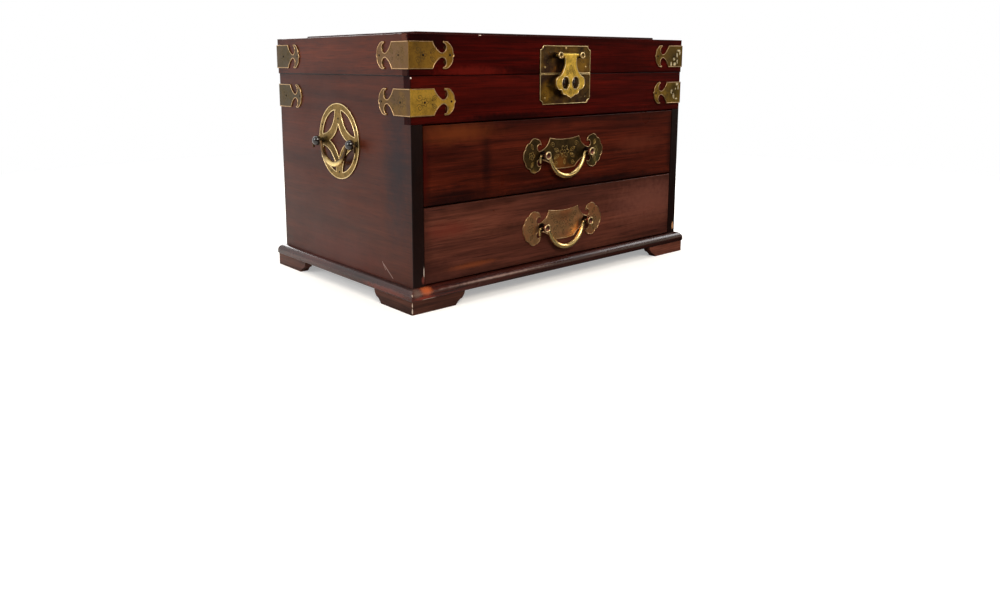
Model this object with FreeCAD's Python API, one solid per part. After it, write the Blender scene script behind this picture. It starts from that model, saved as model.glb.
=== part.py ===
import FreeCAD, Part
import math
import os
from collections import namedtuple

# Rosewood jewellery chest with two drawers, a hinged lid and brass fittings.
# Millimetres. X runs along the width, the front looks to -Y, Z is up from the floor under the feet.
# The origin is on the floor, at the centre of the whole chest with its fittings.

Vec = FreeCAD.Vector

# Case
CASE_WIDTH = 380.0
CASE_DEPTH = 240.0
SIDE_THICKNESS = 12.5
BACK_THICKNESS = 8.0
BACK_REBATE = 6.0
HOUSING_DEPTH = 4.0
EDGE_ROUND = 0.7

# Base board and feet
FOOT_HEIGHT = 12.0
FOOT_THICKNESS = 9.0
FOOT_TOP_LENGTH = 60.5
FOOT_BOTTOM_LENGTH = 49.5
FOOT_CUSP_HEIGHT = 5.4
FOOT_CUSP_STEP = 1.0
FOOT_INSET = 0.6
FOOT_CORNER_ROUND = 1.5
FOOT_BLOCK = 16.0
FOOT_BLOCK_LIFT = 1.0
BASE_THICKNESS = 10.0
BASE_PROJECTION = 7.2
BASE_ROUND = 6.4
BASE_LOWER_ROUND = 1.2

# Till and the divider between the drawers
UPPER_OPENING_HEIGHT = 71.2
LOWER_OPENING_HEIGHT = 69.2
DIVIDER_THICKNESS = 5.0
TILL_HEIGHT = 42.1
TILL_FRONT_THICKNESS = 10.0
TILL_FLOOR_THICKNESS = 5.0

# Drawers
DRAWER_FRONT_THICKNESS = 12.0
DRAWER_WALL = 7.0
DRAWER_BOTTOM_THICKNESS = 4.0
DRAWER_BOTTOM_RISE = 4.0
DRAWER_GROOVE = 3.0
DRAWER_FRONT_REBATE = 6.0
DRAWER_SIDE_GAP = 0.6
DRAWER_RUN_GAP = 0.3
DRAWER_TOP_GAP = 2.5
DRAWER_BACK_GAP = 4.0
DRAWER_STOP_GAP = 0.3
FRONT_REVEAL = 1.2
FRONT_LIP = 1.6
LINING_THICKNESS = 1.2
LINING_GAP = 0.3

# Lid
LID_RIM_HEIGHT = 35.8
LID_RIM_THICKNESS = 10.0
LID_SIDE_OVERHANG = 1.2
LID_RAIL_WIDTH = 13.0
LID_RAIL_THICKNESS = 9.0
PANEL_RISE = 2.8
PANEL_GAP = 0.3
PANEL_TONGUE = 3.0
PANEL_TONGUE_THICKNESS = 3.0
PANEL_ROUND = 1.0
MIRROR_THICKNESS = 3.0
MIRROR_FRAME_WIDTH = 16.0
MIRROR_FRAME_THICKNESS = 6.0
MIRROR_FRAME_MARGIN = 6.0
MIRROR_LAP = 4.0

# Lift-out tray in the till
TRAY_SIDE_GAP = 0.8
TRAY_SEAT_GAP = 0.3
TRAY_HEIGHT = 33.0
TRAY_WALL = 5.0
TRAY_BOTTOM_THICKNESS = 3.0
TRAY_DIVIDER = 4.0
TRAY_DIVIDER_DROP = 3.0
TRAY_FRONT_ROW_DEPTH = 88.0
TRAY_SMALL_CELL = 96.0

# Brass sheet, nails and screws
SHEET = 0.9
SHEET_BEND = 0.7
NAIL_RADIUS = 0.55
NAIL_HEAD_RADIUS = 1.1
NAIL_HEAD_HEIGHT = 0.5
NAIL_GRIP = 5.0
HOLE_CLEARANCE = 0.05

# Corner brackets
BRACKET_HEIGHT = 24.0
BRACKET_REACH = 49.0
BRACKET_ARM = 25.0
BRACKET_NAIL_NEAR = 14.5
BRACKET_NAIL_FAR = 44.0
LID_BRACKET_RISE = 17.6
CASE_BRACKET_DROP = 23.0

# Lock plates and hasp
LOCK_WIDTH = 72.0
LOCK_UPPER_HEIGHT = 27.6
LOCK_LOWER_HEIGHT = 30.0
LOCK_CORNER = 4.0
LOCK_NAIL_MARGIN = 7.0
LOCK_NAIL_RISE = 6.4
LOCK_TOP_NAIL_DROP = 2.6
LOCK_EDGE_GAP = 0.15
HASP_PIVOT_RISE = 17.9
HASP_POST_SPACING = 31.0
HASP_LENGTH = 42.5
HASP_NECK_WIDTH = 16.6
HASP_WIDTH = 41.2
HASP_WIDEST_DROP = 25.3
HASP_THICKNESS = 1.6
HASP_BARREL_RADIUS = 2.4
HASP_BARREL_LENGTH = 23.0
HASP_HOLE_SPACING = 14.2
HASP_HOLE_DROP = 27.0
HASP_HOLE_WIDTH = 9.4
HASP_HOLE_HEIGHT = 12.0
LUG_HOLE_GAP = 0.6
LUG_BACKSET = 0.4
SPIKE_RADIUS = 1.5
SPIKE_LENGTH = 8.0
LUG_ROUND = 2.0
HASP_POST_COLLAR_RADIUS = 3.2
HASP_POST_COLLAR_HEIGHT = 0.6
HASP_POST_NECK_RADIUS = 2.4
HASP_POST_NECK_LENGTH = 6.0
HASP_POST_HEAD_RADIUS = 3.4
HASP_POST_HEAD_THICKNESS = 1.7
HASP_PIN_RISE = 4.0
HASP_PIN_RADIUS = 1.0

# Bails and their posts
PIN_RADIUS = 1.15
PIN_CLEARANCE = 0.08
BAIL_ROD_RADIUS = 2.3
BAIL_END_RADIUS = 1.35
BAIL_TAIL_LENGTH = 6.5
POST_SHANK_RADIUS = 1.7
POST_NECK_RADIUS = 2.9
POST_COLLAR_RADIUS = 4.3
POST_COLLAR_HEIGHT = 0.8
ROVE_RADIUS = 3.4
ROVE_THICKNESS = 0.7
RIVET_RADIUS = 2.3
RIVET_HEIGHT = 0.9
BAIL_POST_GAP = 0.9
BAIL_SECTIONS = 9
HEAD_DISH = 0.7
HEAD_RIM = 1.4

# Drawer pulls
PULL_SPACING = 63.5
PULL_WIDTH = 115.0
PULL_HEIGHT = 35.0
PULL_SHIELD_TOP = 42.5
PULL_SHIELD_BOTTOM = 30.0
PULL_NECK_LENGTH = 5.7
PULL_PIN_RISE = 3.5
PULL_HEAD_RADIUS = 4.2
PULL_HEAD_THICKNESS = 2.4
PULL_DROP = 25.5
UPPER_PULL_RISE = 33.8
LOWER_PULL_RISE = 35.0

# Side handles
SIDE_PLATE_RADIUS = 37.0
SIDE_PLATE_RING = 6.5
SIDE_PLATE_LENS_HALF_ANGLE = 34.0
SIDE_PLATE_BAND_RADIUS = 18.8
SIDE_PLATE_DIAMOND = 17.0
SIDE_PLATE_DIAMOND_WAIST = 9.2
SIDE_PLATE_RISE = 123.2
SIDE_PLATE_NAIL_ANGLE = 26.0
SIDE_PLATE_TOP_NAIL = 22.0
SIDE_PLATE_BOTTOM_NAIL = 30.0
SIDE_POST_SPACING = 62.5
SIDE_POST_DROP = 1.0
SIDE_BALL_RADIUS = 5.0
SIDE_NECK_LENGTH = 1.1
SIDE_DROP = 23.6
SIDE_COUNTERBORE_RADIUS = 4.2
SIDE_COUNTERBORE_DEPTH = 2.4

# Butt hinges at the back
HINGE_SPACING = 210.0
HINGE_LENGTH = 40.0
HINGE_LEAF_HEIGHT = 16.0
HINGE_LEAF_THICKNESS = 1.2
HINGE_KNUCKLE_RADIUS = 2.4
HINGE_KNUCKLE_GAP = 0.3
HINGE_PIN_RADIUS = 1.1
HINGE_PIN_CLEARANCE = 0.06
HINGE_LEAF_CLEARANCE = 0.4
SCREW_RADIUS = 0.9
SCREW_HEAD_RADIUS = 2.0
SCREW_HEAD_HEIGHT = 0.9
SCREW_GRIP = 5.5
SCREW_SPACING = 24.0

# Two places this near each other are the same, and a cutter runs this far past the work
SAME = 0.001
PAST = 1.0

# Levels worked out from the sizes above
BASE_TOP = FOOT_HEIGHT + BASE_THICKNESS
DIVIDER_BOTTOM = BASE_TOP + LOWER_OPENING_HEIGHT
DIVIDER_TOP = DIVIDER_BOTTOM + DIVIDER_THICKNESS
TILL_BOTTOM = DIVIDER_TOP + UPPER_OPENING_HEIGHT
TILL_FLOOR_TOP = TILL_BOTTOM + TILL_FLOOR_THICKNESS
JOINT = TILL_BOTTOM + TILL_HEIGHT
LID_TOP = JOINT + LID_RIM_HEIGHT
RAIL_BOTTOM = LID_TOP - LID_RAIL_THICKNESS
PANEL_TOP = LID_TOP + PANEL_RISE

# Places across the width
HALF_WIDTH = CASE_WIDTH / 2
HALF_OPENING = HALF_WIDTH - SIDE_THICKNESS
HALF_LID = HALF_WIDTH + LID_SIDE_OVERHANG
HALF_LID_INSIDE = HALF_LID - LID_RIM_THICKNESS

# How far the fittings stand off the faces that carry them
PULL_AXIS_REACH = SHEET + POST_COLLAR_HEIGHT + PULL_PIN_RISE
PULL_REACH = SHEET + POST_COLLAR_HEIGHT + PULL_NECK_LENGTH + PULL_HEAD_THICKNESS
HASP_AXIS_REACH = SHEET + HASP_POST_COLLAR_HEIGHT + HASP_PIN_RISE
HASP_REACH = SHEET + HASP_POST_COLLAR_HEIGHT + HASP_POST_NECK_LENGTH + HASP_POST_HEAD_THICKNESS
SIDE_AXIS_REACH = SHEET + SIDE_NECK_LENGTH + SIDE_BALL_RADIUS

# Places from front to back, with the whole chest centred on the origin
HINGE_AXIS_REACH = HINGE_KNUCKLE_RADIUS + HINGE_KNUCKLE_GAP
FRONT_REACH = max(BASE_PROJECTION, PULL_REACH, HASP_REACH)
BACK_REACH = max(BASE_PROJECTION, HINGE_AXIS_REACH + HINGE_KNUCKLE_RADIUS)
FRONT = -(CASE_DEPTH + FRONT_REACH + BACK_REACH) / 2 + FRONT_REACH
BACK = FRONT + CASE_DEPTH
BACK_INSIDE = BACK - BACK_THICKNESS
TILL_FRONT_INSIDE = FRONT + TILL_FRONT_THICKNESS
MIDDLE = (FRONT + BACK) / 2
HINGE_AXIS = BACK + HINGE_AXIS_REACH
DRAWER_STOP = FRONT + DRAWER_FRONT_THICKNESS + DRAWER_STOP_GAP

LEFTWARD = Vec(-1, 0, 0)
RIGHTWARD = Vec(1, 0, 0)
FORWARD = Vec(0, -1, 0)
BACKWARD = Vec(0, 1, 0)
UP = Vec(0, 0, 1)

# A fastener stands on a face at point, looks along out, and passes through a plate of thickness stack
Station = namedtuple("Station", "point out stack")


def board(x0, x1, y0, y1, z0, z1):
    """A square board between two corners."""
    return Part.makeBox(x1 - x0, y1 - y0, z1 - z0, Vec(x0, y0, z0))


def edges_at(shape, x=None, y=None, z=None):
    """Edges whose ends all lie at the given coordinates, such as x and y for an upright edge."""
    wanted = (x, y, z)
    return [edge for edge in shape.Edges
            if all(value is None or abs(vertex.Point[i] - value) < SAME
                   for vertex in edge.Vertexes for i, value in enumerate(wanted))]


def eased(shape, radius, *places):
    """Round the edges found at each place, given as a dictionary for edges_at."""
    edges = []
    for place in places:
        edges.extend(edges_at(shape, **place))
    return shape.makeFillet(radius, edges)


def path(start, *steps):
    """Edges in the XZ plane. A step is a point, for a line, or a pair (through, end), for an arc."""
    edges = []
    last = start
    for step in steps:
        if isinstance(step[0], tuple):
            through, end = step
            arc = Part.Arc(Vec(last[0], 0, last[1]), Vec(through[0], 0, through[1]), Vec(end[0], 0, end[1]))
            edges.append(arc.toShape())
        else:
            end = step
            edges.append(Part.makeLine(Vec(last[0], 0, last[1]), Vec(end[0], 0, end[1])))
        last = end
    return edges


def mirrored(shapes, normal):
    """Copies of the shapes on the other side of the plane through the origin with that normal."""
    return [shape.mirror(Vec(0, 0, 0), normal) for shape in shapes]


def face_of(edges):
    """The flat face inside a ring of edges, given in any order."""
    return Part.Face(Part.Wire(Part.__sortEdges__(edges)))


def sheet(face, thickness=SHEET):
    """A plate on the front of the XZ plane, cut to the face's outline."""
    return face.extrude(FORWARD * thickness)


def lathe(base, out, start, *steps):
    """A turned piece. The outline is (radius, height) and the axis stands on base along out."""
    solid = face_of(path(start, *steps, start)).revolve(Vec(0, 0, 0), UP, 360)
    solid = Part.Solid(solid) if solid.ShapeType == "Shell" else solid
    solid.Placement = FreeCAD.Placement(base, FreeCAD.Rotation(UP, out))
    return solid


def rod(start, end, radius):
    """A round bar between two points."""
    return Part.makeCylinder(radius, (end - start).Length, start, end - start)


def dome(base, out, radius, height, shank, length):
    """A domed head, a cap of a sphere, that stands on base with a shank that runs back into the work."""
    sphere = (radius ** 2 + height ** 2) / (2 * height)
    angle = math.asin(radius / sphere) / 2
    crown = (sphere * math.sin(angle), height - sphere + sphere * math.cos(angle))
    return lathe(base, out, (0, -length), (shank, -length), (shank, 0), (radius, 0), (crown, (0, height)))


def drilled(shape, stations, radius, depth):
    """The shape with a hole for each station's shank. Those that don't reach the shape cut nothing."""
    cutters = [rod(s.point + s.out * (s.stack + PAST), s.point - s.out * depth, radius) for s in stations]
    return shape.cut(Part.makeCompound(cutters)) if cutters else shape


def nailed(shape, stations):
    """The shape with a hole for each nail."""
    return drilled(shape, stations, NAIL_RADIUS + HOLE_CLEARANCE, NAIL_GRIP)


def screwed(shape, stations):
    """The shape with a hole for each screw."""
    return drilled(shape, stations, SCREW_RADIUS + HOLE_CLEARANCE, SCREW_GRIP)


def nails(stations):
    """Brass nails with domed heads, one at each station."""
    return [dome(s.point + s.out * s.stack, s.out, NAIL_HEAD_RADIUS, NAIL_HEAD_HEIGHT,
                 NAIL_RADIUS, NAIL_GRIP + s.stack) for s in stations]


def screws(stations):
    """Round-headed brass screws, one at each station."""
    return [dome(s.point + s.out * s.stack, s.out, SCREW_HEAD_RADIUS, SCREW_HEAD_HEIGHT,
                 SCREW_RADIUS, SCREW_GRIP + s.stack) for s in stations]


def corner_signs():
    """The four corners as pairs of signs: left or right, front or back."""
    return [(x, y) for y in (-1, 1) for x in (-1, 1)]


def at_corner(shape, x_side, y_side, half, lowest=0.0):
    """Move a shape made for a front left corner at the origin to one of the four corners."""
    if x_side > 0:
        shape = shape.mirror(Vec(0, 0, 0), RIGHTWARD)
    if y_side > 0:
        shape = shape.mirror(Vec(0, 0, 0), BACKWARD)
    return shape.translated(Vec(x_side * half, MIDDLE + y_side * CASE_DEPTH / 2, lowest))


def ring_of_four(x0, x1, y0, y1, width, z0, z1):
    """Four mitred rails round a rectangle: front, right, back and left."""
    outer = [(x0, y0), (x1, y0), (x1, y1), (x0, y1)]
    inner = [(x0 + width, y0 + width), (x1 - width, y0 + width), (x1 - width, y1 - width),
             (x0 + width, y1 - width)]
    rails = []
    for i in range(4):
        j = (i + 1) % 4
        corners = [outer[i], outer[j], inner[j], inner[i], outer[i]]
        face = Part.Face(Part.makePolygon([Vec(x, y, z0) for x, y in corners]))
        rails.append(face.extrude(UP * (z1 - z0)))
    return rails


def bracket_wing():
    """One arm of a corner bracket in the XZ plane, from the corner at x = 0 to its hooked tip."""
    half = BRACKET_HEIGHT / 2
    zone = BRACKET_REACH - BRACKET_ARM

    def at(along, up):
        return (BRACKET_ARM + along * zone, up * half)

    upper = path((-SHEET, half), at(0, 1), (at(0.16, 0.49), at(0.34, 0.21)), (at(0.60, 0.47), at(0.53, 0.85)),
                 (at(0.46, 0.93), at(0.53, 1)), (at(0.69, 0.96), at(0.80, 0.78)),
                 (at(0.91, 0.52), at(0.94, 0.18)), at(1, 0))
    corner = path((-SHEET, -half), (-SHEET, half))
    return sheet(face_of(upper + mirrored(upper, UP) + corner))


def corner_brackets(half, middle):
    """Four brackets of bent brass sheet, one round each upright corner, at height middle."""
    wing = bracket_wing()
    bracket = wing.fuse(wing.mirror(Vec(0, 0, 0), Vec(1, -1, 0))).removeSplitter()
    bracket = eased(bracket, SHEET_BEND, {"x": -SHEET, "y": -SHEET})
    stations = bracket_stations(half, middle)
    return [nailed(at_corner(bracket, x_side, y_side, half, middle), stations)
            for x_side, y_side in corner_signs()]


def bracket_stations(half, middle):
    """Nails of the four corner brackets: two on each arm."""
    stations = []
    for x_side, y_side in corner_signs():
        face = MIDDLE + y_side * CASE_DEPTH / 2
        for reach in (BRACKET_NAIL_NEAR, BRACKET_NAIL_FAR):
            stations.append(Station(Vec(x_side * (half - reach), face, middle), BACKWARD * y_side, SHEET))
            stations.append(Station(Vec(x_side * half, face - y_side * reach, middle), RIGHTWARD * x_side,
                                    SHEET))
    return stations


def lock_plate(height, up, stations):
    """One half of the lock plate. It starts at the joint, and its far corners are scooped out."""
    near = up * LOCK_EDGE_GAP
    far = up * height
    half = LOCK_WIDTH / 2
    scoop = LOCK_CORNER * math.sin(math.pi / 4)
    right = path((0, near), (half, near), (half, far - up * LOCK_CORNER),
                 ((half - scoop, far - up * scoop), (half - LOCK_CORNER, far)), (0, far))
    plate = sheet(face_of(right + mirrored(right, RIGHTWARD))).translated(Vec(0, FRONT, JOINT))
    return nailed(plate, stations)


def lid_lock_stations():
    """Nails of the upper lock plate: one at the top and two low at the sides."""
    half = LOCK_WIDTH / 2 - LOCK_NAIL_MARGIN
    places = [(0, LOCK_UPPER_HEIGHT - LOCK_TOP_NAIL_DROP), (-half, LOCK_NAIL_RISE), (half, LOCK_NAIL_RISE)]
    return [Station(Vec(x, FRONT, JOINT + z), FORWARD, SHEET) for x, z in places]


def case_lock_stations():
    """Nails of the lower lock plate, near its lower corners."""
    half = LOCK_WIDTH / 2 - LOCK_NAIL_MARGIN
    height = JOINT - LOCK_LOWER_HEIGHT + LOCK_NAIL_RISE
    return [Station(Vec(x, FRONT, height), FORWARD, SHEET) for x in (-half, half)]


def ellipse_face(x, z, half_width, half_height):
    """An upright oval in the XZ plane."""
    centre = Vec(x, 0, z)
    oval = Part.Ellipse(centre + UP * half_height, centre + RIGHTWARD * half_width, centre)
    return Part.Face(Part.Wire(oval.toShape()))


def hasp():
    """The swinging hasp: a lobed leaf with two oval eyes, hanging from a barrel round its pin."""
    neck = HASP_NECK_WIDTH / 2
    half = HASP_WIDTH / 2
    widest = HASP_WIDEST_DROP
    tail = HASP_LENGTH - widest

    def lobe(across, down):
        return (across * half, -widest - down * tail)

    shoulder = (0.74 * half, -0.79 * widest)
    right = path((neck, 0), (neck, -0.36 * widest), ((neck + 0.23 * (half - neck), -0.62 * widest), shoulder),
                 ((0.94 * half, -0.88 * widest), (half, -widest)), (lobe(0.93, 0.34), lobe(0.61, 0.50)),
                 (lobe(0.55, 0.69), lobe(0.31, 0.77)), (lobe(0.21, 0.87), lobe(0.08, 0.91)), lobe(0, 1))
    top = path((-neck, 0), (neck, 0))
    leaf = sheet(face_of(right + mirrored(right, RIGHTWARD) + top), HASP_THICKNESS)
    for side in (-1, 1):
        eye = ellipse_face(side * HASP_HOLE_SPACING / 2, -HASP_HOLE_DROP, HASP_HOLE_WIDTH / 2,
                           HASP_HOLE_HEIGHT / 2)
        leaf = leaf.cut(sheet(eye, HASP_THICKNESS))
    leaf = leaf.translated(FORWARD * (HASP_BARREL_RADIUS - HASP_THICKNESS))
    barrel_half = RIGHTWARD * (HASP_BARREL_LENGTH / 2)
    body = leaf.fuse(rod(-barrel_half, barrel_half, HASP_BARREL_RADIUS))
    body = body.cut(rod(-barrel_half, barrel_half, HASP_PIN_RADIUS + PIN_CLEARANCE))
    return body.translated(Vec(0, FRONT - HASP_AXIS_REACH, JOINT + HASP_PIVOT_RISE))


def lock_lugs():
    """Two oval lugs on the case behind the hasp's eyes, each with a spike into the till front."""
    front = HASP_AXIS_REACH + HASP_BARREL_RADIUS - HASP_THICKNESS - LUG_BACKSET
    height = JOINT + HASP_PIVOT_RISE - HASP_HOLE_DROP
    lugs = []
    for side in (-1, 1):
        oval = ellipse_face(0, 0, HASP_HOLE_WIDTH / 2 - LUG_HOLE_GAP, HASP_HOLE_HEIGHT / 2 - LUG_HOLE_GAP)
        lug = sheet(oval, front - SHEET)
        lug = eased(lug, LUG_ROUND, {"y": SHEET - front}).translated(FORWARD * SHEET)
        spike = rod(FORWARD * (SHEET + LUG_ROUND), BACKWARD * SPIKE_LENGTH, SPIKE_RADIUS)
        lugs.append(lug.fuse(spike).translated(Vec(side * HASP_HOLE_SPACING / 2, FRONT, height)))
    return lugs


def lug_stations():
    """Where the lugs' spikes enter the till front."""
    height = JOINT + HASP_PIVOT_RISE - HASP_HOLE_DROP
    return [Station(Vec(side * HASP_HOLE_SPACING / 2, FRONT, height), FORWARD, SHEET) for side in (-1, 1)]


def disc_head(neck_radius, start, radius, thickness):
    """Outline of a round flat head with a dished face, from the top of the neck."""
    top = start + thickness
    ease = thickness / 4
    soft = ease * (1 - math.sin(math.pi / 4))
    return [(neck_radius, start), (radius - ease, start), (radius, start + ease), (radius, top - ease),
            ((radius - soft, top - soft), (radius - ease, top)), (radius - HEAD_RIM, top), (0, top - HEAD_DISH)]


def pull_post(base, out, depth):
    """A drawer pull's post, with its shank through the work, before its cross hole."""
    collar = SHEET + POST_COLLAR_HEIGHT
    head = disc_head(POST_NECK_RADIUS, collar + PULL_NECK_LENGTH, PULL_HEAD_RADIUS, PULL_HEAD_THICKNESS)
    return lathe(base, out, (0, -depth), (POST_SHANK_RADIUS, -depth), (POST_SHANK_RADIUS, SHEET),
                 (POST_COLLAR_RADIUS, SHEET), (POST_COLLAR_RADIUS, collar), (POST_NECK_RADIUS, collar), *head)


def ball_post(base, out, depth):
    """A side handle's post with a ball head, before its cross hole."""
    meet = SIDE_AXIS_REACH - math.sqrt(SIDE_BALL_RADIUS ** 2 - POST_NECK_RADIUS ** 2)
    return lathe(base, out, (0, -depth), (POST_SHANK_RADIUS, -depth), (POST_SHANK_RADIUS, SHEET),
                 (POST_NECK_RADIUS, SHEET), (POST_NECK_RADIUS, meet),
                 ((SIDE_BALL_RADIUS, SIDE_AXIS_REACH), (0, SIDE_AXIS_REACH + SIDE_BALL_RADIUS)))


def riveted(post, base, out, depth):
    """The post with its washer on the inner face, and its end riveted over the washer."""
    inner = base - out * depth
    rivet = dome(inner - out * ROVE_THICKNESS, -out, RIVET_RADIUS, RIVET_HEIGHT, POST_SHANK_RADIUS,
                 ROVE_THICKNESS)
    rove = rod(inner, inner - out * ROVE_THICKNESS, ROVE_RADIUS)
    rove = rove.cut(rod(inner, inner - out * ROVE_THICKNESS, POST_SHANK_RADIUS + HOLE_CLEARANCE))
    return [post.fuse(rivet).removeSplitter(), rove]


def post_pair(maker, centre, out, along, spacing, axis_reach, depth):
    """Two posts and their washers. The bail's pins pass through them along the given direction."""
    pieces = []
    for side in (-1, 1):
        base = centre + along * (side * spacing / 2)
        middle = base + out * axis_reach
        hole = rod(middle - along * ROVE_RADIUS * 2, middle + along * ROVE_RADIUS * 2,
                   PIN_RADIUS + PIN_CLEARANCE)
        pieces.extend(riveted(maker(base, out, depth).cut(hole), base, out, depth))
    return pieces


def post_stations(centre, out, along, spacing):
    """Where a pair of posts enters the work."""
    return [Station(centre + along * (side * spacing / 2), out, SHEET) for side in (-1, 1)]


def bail(spacing, head_radius, drop):
    """A bail in the XZ plane. It hangs from z = 0, where its pins pass through the posts."""
    inset = head_radius + BAIL_POST_GAP + BAIL_END_RADIUS
    half = spacing / 2 - inset
    outer = spacing / 2 + inset
    depth = drop - BAIL_ROD_RADIUS
    radius = (half ** 2 + depth ** 2) / (2 * depth)
    centre = radius - depth
    swing = math.atan2(half, centre)
    rings = []
    for i in range(BAIL_SECTIONS):
        share = 2 * i / (BAIL_SECTIONS - 1) - 1
        angle = swing * share
        thickness = BAIL_END_RADIUS + (BAIL_ROD_RADIUS - BAIL_END_RADIUS) * math.cos(share * math.pi / 2)
        ring = Part.Wire(Part.makeCircle(thickness, Vec(0, 0, 0), RIGHTWARD))
        point = Vec(radius * math.sin(angle), 0, centre - radius * math.cos(angle))
        ring.Placement = FreeCAD.Placement(point, FreeCAD.Rotation(FORWARD, math.degrees(angle)))
        rings.append(ring)
    body = Part.makeLoft(rings, True, False)
    for side in (-1, 1):
        elbow = Vec(side * half, 0, 0)
        knee = Vec(side * outer, 0, 0)
        tip = knee - UP * BAIL_TAIL_LENGTH
        body = body.fuse([Part.makeSphere(BAIL_END_RADIUS + HOLE_CLEARANCE, elbow),
                          rod(elbow, knee, PIN_RADIUS),
                          Part.makeSphere(PIN_RADIUS + HOLE_CLEARANCE, knee), rod(knee, tip, PIN_RADIUS),
                          Part.makeSphere(PIN_RADIUS, tip)])
    return body


def pull_plate():
    """A drawer pull's backplate: a shield between two bat wings, with holes for the posts."""
    half_width = PULL_WIDTH / 2
    half_height = PULL_HEIGHT / 2
    shield_top = PULL_SHIELD_TOP / 2
    shield_bottom = PULL_SHIELD_BOTTOM / 2

    def at(across, up):
        return (across * half_width, up * half_height)

    def wing(up):
        """Steps from the neck round the hook and the scallops to the middle of the outer edge."""
        return [(at(0.667, up * 0.43), at(0.610, up * 0.61)), at(0.572, up * 0.56),
                (at(0.608, up * 0.84), at(0.680, up * 0.95)), at(0.722, up),
                (at(0.795, up * 0.95), at(0.850, up * 0.75)), (at(0.922, up * 0.63), at(0.953, up * 0.38)),
                (at(0.992, up * 0.22), at(1, 0))]

    top = path((0, 0.83 * half_height),
               ((shield_top / 2, 0.86 * half_height), (shield_top, 0.95 * half_height)),
               (at(0.455, 0.50), at(0.618, 0.25)), *wing(1))
    bottom = path((0, -0.90 * half_height),
                  ((shield_bottom / 2, -0.89 * half_height), (shield_bottom, -0.86 * half_height)),
                  (at(0.405, -0.47), at(0.618, -0.25)), *wing(-1))
    right = top + bottom
    plate = sheet(face_of(right + mirrored(right, RIGHTWARD)))
    return drilled(plate, post_stations(Vec(0, 0, 0), FORWARD, RIGHTWARD, PULL_SPACING),
                   POST_SHANK_RADIUS + HOLE_CLEARANCE, PAST)


def side_plate():
    """The pierced round plate of a side handle: a ring with a four-pointed band inside it."""
    ring = SIDE_PLATE_RADIUS - SIDE_PLATE_RING
    diagonal = math.sin(math.pi / 4)
    low = math.radians(45 - SIDE_PLATE_LENS_HALF_ANGLE)
    start = (ring * math.cos(low), ring * math.sin(low))
    end = (ring * math.sin(low), ring * math.cos(low))
    band = SIDE_PLATE_BAND_RADIUS * diagonal
    lens = sheet(face_of(path(start, ((ring * diagonal, ring * diagonal), end), ((band, band), start))))
    waist = SIDE_PLATE_DIAMOND_WAIST * diagonal
    quarter = path((SIDE_PLATE_DIAMOND, 0), ((waist, waist), (0, SIDE_PLATE_DIAMOND)))
    half = quarter + mirrored(quarter, RIGHTWARD)
    diamond = sheet(face_of(half + mirrored(half, UP)))
    plate = rod(Vec(0, 0, 0), FORWARD * SHEET, SIDE_PLATE_RADIUS)
    holes = [lens.rotated(Vec(0, 0, 0), FORWARD, 90 * i) for i in range(4)]
    return plate.cut(holes + [diamond])


def side_plate_places():
    """Nails of a side plate, as places across and up from its centre."""
    middle = SIDE_PLATE_RADIUS - SIDE_PLATE_RING / 2
    angle = math.radians(SIDE_PLATE_NAIL_ANGLE)
    across, up = middle * math.cos(angle), middle * math.sin(angle)
    return [(0, SIDE_PLATE_TOP_NAIL), (0, -SIDE_PLATE_BOTTOM_NAIL),
            (across, up), (-across, up), (across, -up), (-across, -up)]


def base_board():
    """The bottom of the case: a full board whose edge is a rounded moulding on all four sides."""
    slab = board(-HALF_WIDTH - BASE_PROJECTION, HALF_WIDTH + BASE_PROJECTION,
                 FRONT - BASE_PROJECTION, BACK + BASE_PROJECTION, FOOT_HEIGHT, BASE_TOP)
    slab = eased(slab, BASE_ROUND, {"z": BASE_TOP})
    return eased(slab, BASE_LOWER_ROUND, {"z": FOOT_HEIGHT})


def foot():
    """A front left bracket foot about the case's corner: two mitred brackets and a glue block."""
    spread = FOOT_TOP_LENGTH - FOOT_BOTTOM_LENGTH
    cusp = (FOOT_BOTTOM_LENGTH + 0.55 * spread, FOOT_CUSP_HEIGHT)
    step = (cusp[0] + FOOT_CUSP_STEP, FOOT_CUSP_HEIGHT)
    lower = (FOOT_BOTTOM_LENGTH + 0.24 * spread, 0.58 * FOOT_CUSP_HEIGHT)
    upper = (FOOT_TOP_LENGTH - 0.14 * spread, FOOT_CUSP_HEIGHT + 0.42 * (FOOT_HEIGHT - FOOT_CUSP_HEIGHT))
    outline = path((0, 0), (FOOT_BOTTOM_LENGTH, 0), (lower, cusp), step,
                   (upper, (FOOT_TOP_LENGTH, FOOT_HEIGHT)),
                   (0, FOOT_HEIGHT), (0, 0))
    bracket = face_of(outline).extrude(BACKWARD * FOOT_THICKNESS)
    near, far = Vec(-PAST, -PAST, -PAST), FOOT_THICKNESS + PAST
    waste = Part.Face(Part.makePolygon([near, Vec(-PAST, far, -PAST), Vec(far, far, -PAST), near]))
    bracket = bracket.cut(waste.extrude(UP * (FOOT_HEIGHT + 2 * PAST)))
    softened = eased(board(0, FOOT_TOP_LENGTH, 0, FOOT_TOP_LENGTH, 0, FOOT_HEIGHT), FOOT_CORNER_ROUND,
                     {"x": 0, "y": 0})
    bracket = bracket.common(softened)
    inner = FOOT_THICKNESS + FOOT_BLOCK
    block = board(FOOT_THICKNESS, inner, FOOT_THICKNESS, inner, FOOT_BLOCK_LIFT, FOOT_HEIGHT)
    pieces = [bracket, bracket.mirror(Vec(0, 0, 0), Vec(1, -1, 0)), block]
    outset = FOOT_INSET - BASE_PROJECTION
    return [piece.translated(Vec(outset, outset, 0)) for piece in pieces]


def side_post_centre(side):
    """The point midway between the two posts of a side handle, on the case's face."""
    return Vec(side * HALF_WIDTH, MIDDLE, BASE_TOP + SIDE_PLATE_RISE - SIDE_POST_DROP)


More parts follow.
